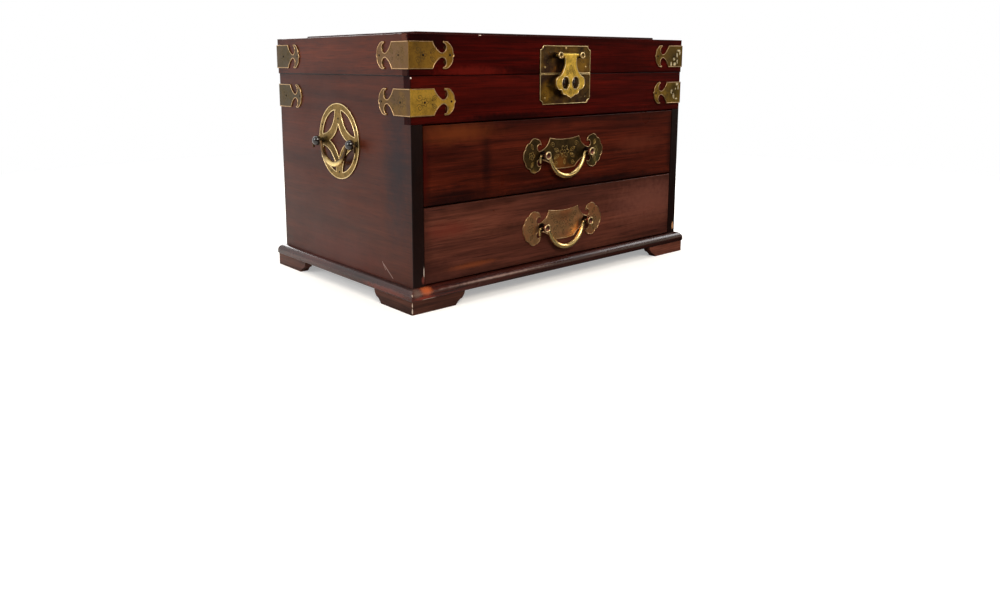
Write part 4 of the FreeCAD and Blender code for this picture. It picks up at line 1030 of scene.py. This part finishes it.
@dataclass
class Lugs:
    """The two polished oval lugs that fill the hasp's eyes."""

    places: Places
    finishes: Finishes
    round: float = 3.0
    across: int = 48
    start: float = 0.2
    tip: float = 0.03

    def build(self) -> None:
        """Turn each lug as an oval stem under a dome.

        The two lugs share one box, so the width of one is the box's less the distance between the eyes. The radius
        shrinks over the dome as the cosine of an angle whose sine gives the height. The angle stops just short of
        the top, which a small flat face closes.
        """
        low, high = box("lock_lugs")
        half_high = (high[2] - low[2]) / 2 / MM
        spacing = Lock.eye_spacing
        half_wide = ((high[0] - low[0]) / MM - spacing) / 2
        face = (self.places.front - low[1]) / MM
        panel = self.places.panel("front", height=float(low[2] + high[2]) / 2)
        swell = np.linspace(0, math.pi / 2 - self.tip, 12)
        shrink = np.concatenate([[1.0], np.cos(swell)])[:, None]
        out = np.concatenate([[self.start], face - self.round + self.round * np.sin(swell)])[:, None]
        surface, turn = Surface(), turns(self.across)
        for hand in (-1, 1):
            x = hand * spacing / 2 + half_wide * shrink * np.cos(turn)
            surface.grid(panel.place(x, half_high * shrink * np.sin(turn), np.broadcast_to(out, x.shape)),
                         wrap_columns=True, capped=True)
        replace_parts(surface.piece("lug_domes", self.finishes.lug, "dark_brass", "case"), "lock_lugs")


@dataclass
class DrawerPull(Brasswork):
    """The bat-shaped backplate of a drawer pull."""

    width: float = 115.0
    height: float = 35.0
    shield_top: float = 42.5
    shield_bottom: float = 30.0
    spacing: float = 63.5
    post_face: float = 9.8
    post_ring: Triple = (3.45, 1.3, 0.5)

    def plate(self) -> Array:
        """Outline of the backplate: a shield between two scalloped wings."""
        wide, high = self.width / 2, self.height / 2
        top_half, low_half = self.shield_top / 2, self.shield_bottom / 2

        def at(across: float, up: float) -> Point:
            """A place as shares of the half width and half height."""
            return across * wide, up * high

        def wing(up: int) -> list:
            """Steps from the neck round the hook and the scallops to the middle of the outer edge."""
            return [(at(0.667, up * 0.43), at(0.610, up * 0.61)), at(0.572, up * 0.56),
                    (at(0.608, up * 0.84), at(0.680, up * 0.95)), at(0.722, up),
                    (at(0.795, up * 0.95), at(0.850, up * 0.75)), (at(0.922, up * 0.63), at(0.953, up * 0.38)),
                    (at(0.992, up * 0.22), at(1, 0))]

        top = outline((0, 0.83 * high), ((top_half / 2, 0.86 * high), (top_half, 0.95 * high)),
                      (at(0.455, 0.50), at(0.618, 0.25)), *wing(1))
        low = outline((0, -0.90 * high), ((low_half / 2, -0.89 * high), (low_half, -0.86 * high)),
                      (at(0.405, -0.47), at(0.618, -0.25)), *wing(-1))
        return with_mirror(np.concatenate([top, low[::-1][1:]]))[:-1][::-1]

    def build(self) -> None:
        """Dress both drawers' backplates."""
        for name, cut in (("upper", self.finishes.bright_cut), ("lower", self.finishes.cut)):
            low, high = box(name + "_pull_plate")
            panel = self.places.panel("front", height=(low[2] + high[2]) / 2, sheet=self.sheet * MM)
            rims, cuts = Surface(), Surface()
            self.rims(rims, panel, self.plate())
            lines = Motif.flower(0, 1.5, 6.5, 6) + Motif.leaf(0, -6, -90, 5.5, 3)
            for hand in (-1, 1):
                base = 90 - 90 * hand
                for x, y, lean, length, width in ((8, 2, 25, 8, 3.6), (8, -1, -30, 8, 3.4), (44, 6, 62, 6.5, 3),
                                                  (44, -6, -62, 6.5, 3)):
                    lines += Motif.leaf(hand * x, y, base + lean * hand, length, width)
                lines += Motif.scroll(hand * 17, 9, base, 3.0, hand) + Motif.scroll(hand * 12, -9.5, base, 2.6, -hand)
                lines += Motif.flower(hand * 46, 0, 4.2)
            self.cuts(cuts, panel, lines)
            self.finish(name + "_pull", rims, cuts, name + "_drawer", cut=cut)
            self.heads(name + "_pull", name + "_drawer", panel, self.spacing, self.post_face, self.post_ring)


@dataclass
class SideHandle(Brasswork):
    """The round pierced plate of a side handle."""

    radius: float = 37.0
    ring: float = 6.5
    lens_half_angle: float = 34.0
    band: float = 18.8
    diamond: float = 17.0
    waist: float = 9.2

    def build(self) -> None:
        """Dress both side plates with a rim round the plate and each piercing."""
        inner, slant = self.radius - self.ring, math.sin(math.pi / 4)
        low = math.radians(45 - self.lens_half_angle)
        start, end = ((inner * a, inner * b)
                      for a, b in ((math.cos(low), math.sin(low)), (math.sin(low), math.cos(low))))
        outer, band = ((reach * slant, reach * slant) for reach in (inner, self.band))
        lens = outline(start, (outer, end), (band, start))[:-1]
        quarter = outline((self.diamond, 0.0), ((self.waist * slant, self.waist * slant), (0.0, self.diamond)))[:-1]
        spins = [np.array([[c, s], [-s, c]]) for c, s in ((1, 0), (0, 1), (-1, 0), (0, -1))]
        piercings = [np.concatenate([quarter @ spin for spin in spins]), *(lens @ spin for spin in spins)]
        rims = Surface()
        for way in ("left", "right"):
            low, high = box("side_plate_" + way)
            panel = self.places.panel(way, height=(low[2] + high[2]) / 2, sheet=self.sheet * MM)
            self.rims(rims, panel, oval(turns(90), self.radius, self.radius))
            for line in piercings:
                self.rims(rims, panel, line[::-1])
        self.finish("side_plate", rims, Surface(), "case", self.finishes.polished_highlight_edge)


@dataclass
class Bails:
    """The four swinging bails, cast brass rods that thicken towards the middle. Sizes are in millimetres.

    Those of the front and of the sides have their own distance between the posts, their own drop, and their own
    shares of the height between which they darken.
    """

    places: Places
    finishes: Finishes
    front: tuple[float, float, Point] = (63.5, 25.5, (0.80, 1.12))
    side: tuple[float, float, Point] = (62.5, 23.6, (0.08, 0.45))
    pin: float = 1.15
    end: float = 1.35
    middle: float = 2.6
    tail: float = 6.5
    turn: float = 1.7

    def rod(self, half: float, outer: float, drop: float) -> tuple[Array, Array]:
        """The rod's line and radii, from one tail's tip to the other's.

        The bow is part of a circle through both elbows and the lowest point. Its radius grows from the end's to the
        middle's as the cosine of a quarter turn. Pins lead from the elbows through the posts to the knees, and the
        tails hang from the knees.

        Args:
            half: Distance from the middle to an elbow.
            outer: Distance from the middle to a knee.
            drop: Depth of the lowest point below the pins.

        Returns:
            Points across and up, and a radius for each.
        """
        depth = drop - self.middle
        radius = (half ** 2 + depth ** 2) / (2 * depth)
        centre = radius - depth
        swing = math.atan2(half, centre) - self.turn / radius
        angle = np.linspace(swing, 0, 40)
        bow = np.stack([radius * np.sin(angle), centre - radius * np.cos(angle)], 1)
        grown = self.end + (self.middle - self.end) * np.cos(angle / swing * math.pi / 2)
        tip = np.linspace(0, math.pi / 2, 6)
        tail = np.stack([np.full(6, outer), -self.tail - self.pin * (np.cos(tip) - 0.02)], 1)
        knee = bend((outer, -self.turn), (outer, 0.0), (outer - self.turn, 0.0))
        elbow = bend((half + self.turn, 0.0), (half, 0.0), bow[0])
        line = np.concatenate([tail, knee, elbow[:-1], bow])
        radii = np.concatenate([self.pin * np.sin(np.maximum(tip, 0.05)), np.full(8, self.pin),
                                np.linspace(self.pin, self.end, 8)[:-1], grown])
        return with_mirror(line), np.concatenate([radii, radii[::-1][1:]])

    def build(self) -> None:
        """Make each bail in its node's place."""
        for node, body, way in (("upper_pull_bail", "upper_bail", "front"),
                                ("lower_pull_bail", "lower_bail", "front"),
                                ("side_bail_left", "left_bail", "left"), ("side_bail_right", "right_bail", "right")):
            low, high = box(node)
            spacing, drop, bright = self.front if way == "front" else self.side
            face = self.places.panel(way)
            outer = float(abs(face.across @ (high - low))) / MM / 2 - self.pin
            middle = (low + high) / 2
            middle[2] = low[2] + drop * MM
            surface = Surface()
            tube(surface, replace(face, origin=middle), *self.rod(spacing - outer, outer, drop))
            brass = self.finishes.bail(body, low[2] / MM, middle[2] / MM, bright)
            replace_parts(surface.piece(body + "_rod", brass, "bright_brass", body), node)


@dataclass
class Linings:
    """Silk over thin wadding on the drawers' and the tray's bottoms. Lengths are in millimetres."""

    finishes: Finishes
    wave: float = 0.12
    edge_power: int = 24
    edge_share: float = 0.45
    ripples: Triple = (110.0, 90.0, 40.0)
    front_row: float = 88.0
    small: float = 96.0
    wall: float = 4.0
    gap: float = 0.3

    def pad(self, surface: Surface, low: Array, high: Array) -> float:
        """Add one pad between two corners, in metres.

        Its crown falls off near the edges as one minus the 24th power of the distance from the middle. The height is
        a share of the box's at the edges and all of it under the crown. Ripples lower it by the product of a sine
        across and one along, less one. A third sine shifts the first. Their rates are in radians a metre.

        Args:
            surface: Takes the pad.
            low: Lowest corner.
            high: Highest corner.

        Returns:
            The pad's flat area.
        """
        size = high - low
        u, v = np.linspace(0, 1, 60)[:, None], np.linspace(0, 1, 48)[None, :]
        x, y = np.broadcast_arrays(low[0] + u * size[0], low[1] + v * size[1])
        crown = (1 - np.abs(u * 2 - 1) ** self.edge_power) * (1 - np.abs(v * 2 - 1) ** self.edge_power)
        across, deep, drift = self.ripples
        ripple = self.wave * MM * (np.sin(x * across + 3 * np.sin(y * drift)) * np.sin(y * deep) - 1) * crown
        thick = size[2] * (self.edge_share + (1 - self.edge_share) * crown) + ripple
        top, foot = (np.stack([x, y, low[2] + rise], -1) for rise in (thick, 0 * thick))
        surface.grid(np.concatenate([top, foot[:, ::-1]], 1), wrap_columns=True, capped=True)
        return float(size[0] * size[1])

    def build(self) -> None:
        """Make the drawers' linings and the tray's, which is one piece of several pads."""
        for body, node in (("upper_drawer", "upper_drawer_lining"), ("lower_drawer", "lower_drawer_lining"),
                           ("tray", "tray_linings")):
            low, high = box(node)
            surface = Surface()
            cells = self.cells(low, high) if body == "tray" else [(low, high)]
            area = sum(self.pad(surface, *cell) for cell in cells)
            cloth = surface.piece(body + "_silk", self.finishes.silk, "silk", body)
            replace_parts(cloth, node)

    def cells(self, low: Array, high: Array) -> list[tuple[Array, Array]]:
        """Corners of the tray's five linings: two cells in front and three behind.

        Args:
            low: Lowest corner of them all, in metres.
            high: Highest corner.

        Returns:
            A lowest and highest corner for each cell.
        """
        step = (self.wall / 2 + self.gap) * MM
        split = low[1] + (self.front_row - 2 * self.gap) * MM
        behind = split + (self.wall + 2 * self.gap) * MM
        half = high[0] + self.gap * MM
        rows = [(low[1], split, [half - self.small * MM]), (behind, high[1], [-half / 3, half / 3])]
        cells = []
        for near, far, cuts in rows:
            starts = [low[0]] + [c + step for c in cuts]
            ends = [c - step for c in cuts] + [high[0]]
            cells += [(np.array([a, near, low[2]]), np.array([b, far, high[2]])) for a, b in zip(starts, ends)]
        return cells


@dataclass
class BevelledMirror:
    """The mirror under the lid, with a ground bevel round its edge."""

    finishes: Finishes
    bevel: float = 14.0
    edge: float = 1.2
    flat: float = 0.4

    def build(self) -> None:
        """Make the glass from four rings: back edge, front edge, and the two ends of the bevel."""
        low, high = box("mirror")
        middle, half = (low + high) / 2, (high - low) / 2
        corners = np.array([[-1, -1], [1, -1], [1, 1], [-1, 1]])
        rings = [np.column_stack([middle[:2] + corners * (half[:2] - inset * MM), np.full(4, height)])
                 for inset, height in ((0, high[2]), (0, low[2] + self.edge * MM), (self.bevel, low[2]),
                                       (self.bevel + self.flat, low[2]))]
        surface = Surface()
        surface.grid(np.stack(rings), wrap_columns=True, capped=True)
        glass = surface.piece("mirror_glass", self.finishes.mirror, "mirror_glass", "lid", smooth=False)
        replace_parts(glass, "mirror")


@dataclass
class Woodwork:
    """Every board's own rosewood, and the plain timber inside."""

    places: Places

    def boards(self) -> dict[str, tuple[Rosewood, Grain, int]]:
        """The finish, grain and facing axis of each rosewood board."""
        front, joint = self.places.front / MM, self.places.joint / MM
        seam = Mark((0, 0, joint), (600, 600, 0.8), "#070303", 0.92, 0.4)
        # The side boards' front edges are made near black: dark end grain with painted shade of the gaps beside the
        # drawers.
        strips = [Mark((hand * 185, front, 110), (60, 1.1, 500), "#0b0505", 0.86, 0.3) for hand in (-1, 1)]
        ends = [Mark((hand * 190.6, front + 6, joint), (1.6, 60, 400), "#100708", 0.7, 0.3) for hand in (-1, 1)]
        # On the lid front's ends the paler band takes the side boards' colour with their sheen painted in; the dark
        # band runs along the joint.
        lid_ends = [mark for x in (-191.8, 191.8) for mark in (
            Mark((x, front + 7.2, joint + 20), (1.4, 7.6, 80), "#603a30", 0.85, 0.1),
            Mark((x, front + 5, joint + 2), (1.6, 60, 6), "#100708", 0.7, 0.3))]
        lid = Rosewood("#300504", "#5a0c06", shine=0.02, lacquer=0.0, marks=(seam, *on_front(
            front, 5, (-172, joint + 31, 34, 9, "#100405", 0.75, 1.0), (-120, joint + 3, 45, 6, "#7a1d14", 0.5, 1.0),
            (95, joint + 22, 75, 24, "#1a0604", 0.45, 1.6)),
            Mark((-112, front, joint + 35.6), (1.9, 2, 0.8), "#d8c0ae"), *lid_ends))
        till = Rosewood("#2e0504", "#560f08", shine=0.03, lacquer=0.0, edge_dark=0.30, marks=(
            seam, *ends, Mark((-189.4, front, joint - 1.8), (0.9, 0.9, 1.1), "#e0d0c4"), *on_front(
                front, 5, (-105, joint - 16, 60, 16, "#160404", 0.35, 1.6),
                # Painted shade: the dark band along the till's bottom edge stands for the gap above the upper drawer.
                (-80, joint - 40, 60, 5, "#120404", 0.8, 1.0))))
        upper = Rosewood("#3a110a", "#5e2212", streak_share=0.55, shine=0.06, lacquer=0.0, edge_dark=0.55)
        # Painted light: the orange patch at the top left is a painted highlight, and the dark band along the bottom
        # edge is painted shade of the gap between the drawers.
        upper = replace(upper, marks=on_front(
            front, 6, (-138, 158, 46, 9, "#86401c", 0.52, 1.6, 11.0), (-104, 128, 7, 30, "#120506", 0.6, 1.2),
            (-150, 101, 50, 12, "#120708", 0.75, 1.2, 12.0), (30, 97, 150, 4, "#170a0a", 0.6, 1.2),
            (-176, 128, 5, 34, "#4a0c08", 0.5, 1.0), (118, 132, 40, 10, "#6a3020", 0.6, 1.4, 10.0)))
        lower = Rosewood("#3f1f1a", "#6b3a2c", streak_share=0.30, shine=0.10, lacquer=0.0, edge_dark=0.35,
                         line_depth=0.26)
        lower = replace(lower, marks=on_front(
            front, 6, (140, 66, 70, 24, "#8a5244", 0.6, 1.4), (-60, 62, 40, 7, "#24130f", 0.5, 1.2),
            (-168, 36, 26, 9, "#2c1411", 0.5, 1.2), (-120, 33, 30, 3, "#8a4420", 0.5, 1.2),
            (-150, 70, 30, 8, "#6a221a", 0.4, 1.2)))
        base = Rosewood("#22100c", "#4a1c14", streak_share=0.6, edge_dark=0.15, roughness=0.24, shine=0.28,
                        lacquer=0.30, streak_mm=2.4)
        base = replace(base, marks=(
            # Painted highlight: a pale streak along the rounded front of the moulding.
            Mark((-95, front - 6.6, 18.6), (75, 2.6, 1.1), "#a98a80", 0.6, 1.0, 5.0),
            Mark((-180, front - 5, 19.5), (7.5, 8, 4.5), "#b0562e", 0.9, 0.9, 1.2),
            Mark((-190, front - 6, 19.0), (6, 8, 4.5), "#6b564c", 0.75, 1.1, 1.2),
            Mark((-183, front - 7, 14), (12, 4, 2.0), "#7c2a18", 0.8, 1.0, 1.5),
            Mark((-196.3, front - 6.5, 17), (0.7, 0.7, 4.5), "#d0b8a4", 0.85, 0.5, 0.7),
            Mark((-197, front + 40, 15), (3, 40, 3), "#6b2a1c", 0.6, 1.0, 6.0),
            Mark((-178, front - 7, 12.4), (10, 3, 0.6), "#c8b0a0", 0.8, 0.6, 1.0)))
        flank = Rosewood("#3a1508", "#4d1f0e", streak_share=0.14, edge_dark=0.30, roughness=0.36, shine=0.15,
                         lacquer=0.06, line_depth=0.15, marks=(seam,))
        lid_flank = replace(flank, ground="#411708", warm="#5a240e", streak_share=0.30, edge_dark=0.35, lacquer=0.07,
                            line_depth=0.2)
        # Painted shade with a bluish painted sheen near the left side's front corner.
        left = replace(flank, marks=(
            seam, Mark((-190, front + 20, 128), (8, 24, 66), "#0e1018", 0.78, 1.6),
            Mark((-190, front + 120, 30), (8, 90, 26), "#55241c", 0.4, 1.3), strips[0],
            Scratch((-190, front + 47, 36), (-190, front + 32, 25)),
            Scratch((-190, front + 49, 38), (-190, front + 44, 31), 0.35), *on_front(
                front, 2, (-178.1, 35, 0.8, 6, "#d8c4b8", 0.9, 0.6, 0.8),
                (-179, 28, 2.2, 4, "#7a3a30", 0.7, 0.9, 1.2))))
        right = replace(flank, marks=(seam, strips[1], *on_front(front, 2, (186.5, 30, 2.2, 6, "#d09a70", 0.9))))
        deep = Rosewood("#2e0b06", "#43150b", edge_dark=0.35)
        crown = replace(deep, shine=0.08, lacquer=0.0, roughness=0.42)
        foot = Rosewood("#45261d", "#643a2c", edge_dark=0.3, shine=0.12, lacquer=0.03)
        # Painted light: the front right foot is a lighter copy of the foot finish, for the light that falls on it.
        painted_light_foot = replace(foot, ground="#5c3226", warm="#824c3c", edge_dark=0.15)
        chipped_foot = replace(foot, marks=(
            Mark((-196.2, front - 6.4, 9), (0.6, 0.6, 2.6), "#d8c0ac", 0.8, 0.6, 0.7),
            Mark((-196.2, front - 6.4, 3.5), (0.8, 0.8, 3.4), "#dcc8b6", 0.8, 0.6, 0.7),))
        x, y = Grain.ALONG_X, Grain.ALONG_Y
        return {
            "lid_front": (lid, x, 1), "lid_back": (lid_flank, x, 1), "lid_left": (lid_flank, y, 0),
            "lid_right": (lid_flank, y, 0), "lid_panel": (crown, x, 2), "lid_rails": (flank, x, 2),
            "mirror_frame": (deep, x, 2), "till_front": (till, x, 1), "back_board": (flank, x, 1),
            "side_board_left": (left, y, 0), "side_board_right": (right, y, 0),
            "upper_drawer_front": (upper, x, 1), "lower_drawer_front": (lower, x, 1), "base_board": (base, x, 1),
            "foot_front_left": (chipped_foot, x, 1), "foot_front_right": (painted_light_foot, x, 1),
            "foot_back_left": (foot, x, 1), "foot_back_right": (foot, x, 1),
            "tray_walls": (deep, x, 2), "tray_dividers": (deep, x, 2),
        }

    def mitre(self, node: str) -> Triple | None:
        """Half width, half depth and middle depth of a mitred frame, or None for a plain board."""
        node = "base_board" if node.startswith("foot_") else node
        if node not in ("base_board", "lid_rails", "mirror_frame", "tray_walls"):
            return None
        low, high = box(node)
        return (high[0] - low[0]) / 2, (high[1] - low[1]) / 2, self.places.middle

    def build(self, nodes: dict[str, Item]) -> None:
        """Give each wooden part its finish."""
        for name, (finish, grain, facing) in self.boards().items():
            dress(nodes, finish.material(name, grain, facing, self.mitre(name)), name)
        dress(nodes, PlainTimber().material("across", Grain.ALONG_X), "till_floor", "drawer_divider", "tray_bottom",
              *(drawer + part for drawer in ("upper_drawer", "lower_drawer") for part in ("_back", "_bottom")))
        dress(nodes, PlainTimber().material("deep", Grain.ALONG_Y), "upper_drawer_sides", "lower_drawer_sides")


def dress(nodes: dict[str, Item], material: Material, *names: str) -> None:
    """Put one material in every slot of each named part."""
    for name in names:
        for slot in nodes[name].material_slots:
            slot.material = material
        LOG.info("%s: %s", name, material.name)


def dress_metal(nodes: dict[str, Item], finishes: Finishes) -> None:
    """Give every brass part its finish."""
    for material, names in (
        (finishes.case_bracket, ("case_corner_brackets",)),
        (finishes.lid_bracket, ("lid_corner_brackets",)),
        (finishes.lock, ("case_lock_plate", "lid_lock_plate")),
        (finishes.side_plate, ("side_plate_left", "side_plate_right")),
        (finishes.plate, ("hinge_case_leaves", "hinge_lid_leaves", "hinge_pins")),
        (finishes.upper_pull, ("upper_pull_plate",)),
        (finishes.lower_pull, ("lower_pull_plate",)),
        (finishes.hasp, ("hasp", "hasp_pin")),
        (finishes.hasp_post, ("hasp_posts",)),
        (finishes.ball, ("side_posts_left", "side_posts_right")),
        (finishes.copper, ("upper_pull_posts", "lower_pull_posts")),
        (finishes.nail, ("case_nails", "lid_nails", "case_hinge_screws", "lid_hinge_screws")),
    ):
        dress(nodes, material, *names)


@dataclass
class Lamp:
    """A softbox: its place, its size in metres and its power in watts."""

    name: str
    place: Triple
    size: Point
    power: float
    colour: str = "#ffffff"

    def build(self, target: Vector) -> None:
        """Hang the lamp and turn it to the target."""
        light = bpy.data.lights.new(self.name, "AREA")
        light.shape = "RECTANGLE"
        light.size, light.size_y = self.size
        light.energy = self.power
        light.color = linear(self.colour)[:3]
        item = bpy.data.objects.new(self.name, light)
        item.location = self.place
        item.rotation_mode = "QUATERNION"
        item.rotation_quaternion = (target - item.location).to_track_quat("-Z", "Y")
        bpy.context.scene.collection.objects.link(item)


@dataclass
class Studio:
    """The camera at the photograph's place, the pale floor, the softboxes and the room."""

    station: Triple = (-0.6007, -0.6932, 0.2211)
    yaw: float = 40.378
    pitch: float = -9.588
    roll: float = -0.091
    focal: float = 816.7
    frame_width: int = 1000
    sensor: float = 36.0
    shift: Point = (0.02, -0.1055)
    target: Triple = (0.0, 0.0, 0.12)
    floor_reach: float = 1.25
    paper: str = "#e6e4e0"
    paper_glow: float = 0.34
    lean: Triple = (-0.55, 0.80, 0.25)
    studio_dark: float = 0.03
    lamps: tuple[Lamp, ...] = (
        Lamp("key_softbox", (-0.9, -2.3, 1.9), (1.6, 1.2), 58.0, "#fff6ea"),
        Lamp("front_reflector", (2.0, -2.35, 0.75), (2.4, 1.4), 10.0, "#fff2dc"),
        Lamp("left_softbox", (-2.6, 0.3, 1.3), (1.2, 1.4), 32.0),
        Lamp("top_softbox", (0.4, 0.3, 2.6), (1.6, 1.6), 38.0),
        Lamp("right_fill", (2.6, -0.6, 1.5), (1.2, 1.2), 26.0),
        Lamp("back_fill", (0.6, 2.7, 1.5), (1.4, 1.2), 34.0),
    )

    def camera(self) -> None:
        """Make the camera: its axes come from the yaw, pitch and roll that fit the photograph."""
        yaw, pitch, roll = (math.radians(v) for v in (self.yaw, self.pitch, self.roll))
        ahead = Vector((math.sin(yaw) * math.cos(pitch), math.cos(yaw) * math.cos(pitch), math.sin(pitch)))
        right = Vector((math.cos(yaw), -math.sin(yaw), 0.0))
        up = right.cross(ahead)
        right, up = right * math.cos(roll) + up * math.sin(roll), up * math.cos(roll) - right * math.sin(roll)
        lens = bpy.data.cameras.new("camera")
        lens.sensor_width = self.sensor
        lens.lens = self.sensor * self.focal / self.frame_width
        lens.shift_x, lens.shift_y = self.shift
        lens.clip_start, lens.clip_end = 0.01, 50.0
        item = bpy.data.objects.new("camera", lens)
        item.matrix_world = Matrix.Translation(self.station) @ Matrix((right, up, -ahead)).transposed().to_4x4()
        bpy.context.scene.collection.objects.link(item)
        bpy.context.scene.camera = item

    def floor(self) -> None:
        """Lay a round paper floor under the chest.

        The camera sees white paper with the chest's soft shadow, which melts into the white backdrop at its rim.
        Light that has bounced off the chest sees the paper behind and left of it, and the dark floor in front.
        """
        recipe = Recipe("white_paper_floor")
        add = recipe.add
        away = add("VectorMath", [recipe.place], operation="LENGTH").outputs["Value"]
        melt = add("MapRange", [away, 0.45 * self.floor_reach, 0.97 * self.floor_reach],
                   interpolation_type="SMOOTHSTEP")
        glow = add("Emission", {"Color": "#ffffff", "Strength": self.paper_glow})
        lit = add("AddShader", [add("BsdfDiffuse", {"Color": self.paper}), glow])
        shown = add("MixShader", [melt, lit, add("Emission", {"Color": "#ffffff", "Strength": 1.0})])
        lean = add("VectorMath", [recipe.place, self.lean], operation="DOT_PRODUCT").outputs["Value"]
        sweep = add("MapRange", [lean, -0.25, 0.20], interpolation_type="SMOOTHSTEP")
        bounced = add("BsdfDiffuse", {"Color": add("MixRGB", [sweep, "#2c2826", self.paper])})
        seen = add("LightPath").outputs["Is Camera Ray"]
        turn = turns(96)
        reach = np.array([0.02, 0.2, 0.4, 0.7, 1.0])[:, None] * self.floor_reach
        surface = Surface()
        surface.grid(np.stack([reach * np.cos(turn), reach * np.sin(turn), 0 * reach * turn], -1), wrap_columns=True)
        surface.faces.append(list(range(len(turn))))
        surface.item("floor", recipe.finish(add("MixShader", [seen, bounced, shown])), smooth=False)

    def room(self) -> None:
        """Make the world: a white backdrop to the camera.

        Gloss and glass see that backdrop behind and left of the chest, and a dark studio in front and right of it.
        """
        recipe = Recipe("studio", world=True)
        bpy.context.scene.world = recipe.owner
        add = recipe.add
        path = add("LightPath").outputs
        lean = add("VectorMath", [recipe.at["Generated"], self.lean], operation="DOT_PRODUCT").outputs["Value"]
        glossy = add("MapRange", [lean, 0.0, 0.8, self.studio_dark, 1.0], interpolation_type="SMOOTHSTEP")
        fill = add("MapRange", [lean, -0.45, 0.75, 0.12, 0.6])
        mirrored = add("Math", [path["Is Glossy Ray"], path["Is Transmission Ray"]], operation="MAXIMUM")
        light = add("Mix", {"Factor": mirrored, "A": fill, "B": glossy})
        strength = add("Mix", {"Factor": path["Is Camera Ray"], "A": light, "B": 1.0})
        recipe.finish(add("Background", {"Color": "#ffffff", "Strength": strength}))

    def build(self) -> None:
        """Set up the whole studio."""
        self.camera()
        self.floor()
        self.room()
        for lamp in self.lamps:
            lamp.build(Vector(self.target))
        bpy.context.scene.view_settings.view_transform = "Standard"
        LOG.info("studio: %d softboxes", len(self.lamps))


def main() -> None:
    """Build the scene and report each part of it."""
    logging.basicConfig(level=logging.INFO, format="%(message)s")
    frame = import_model()
    places = Places.read()
    finishes = Finishes(places)
    Studio().build()
    Woodwork(places).build(frame["nodes"])
    dress_metal(frame["nodes"], finishes)
    for brasswork in (CornerBrackets, Lock, Lugs, DrawerPull, SideHandle, Bails):
        brasswork(places, finishes).build()
    Linings(finishes).build()
    BevelledMirror(finishes).build()


if __name__ == "__main__":
    main()
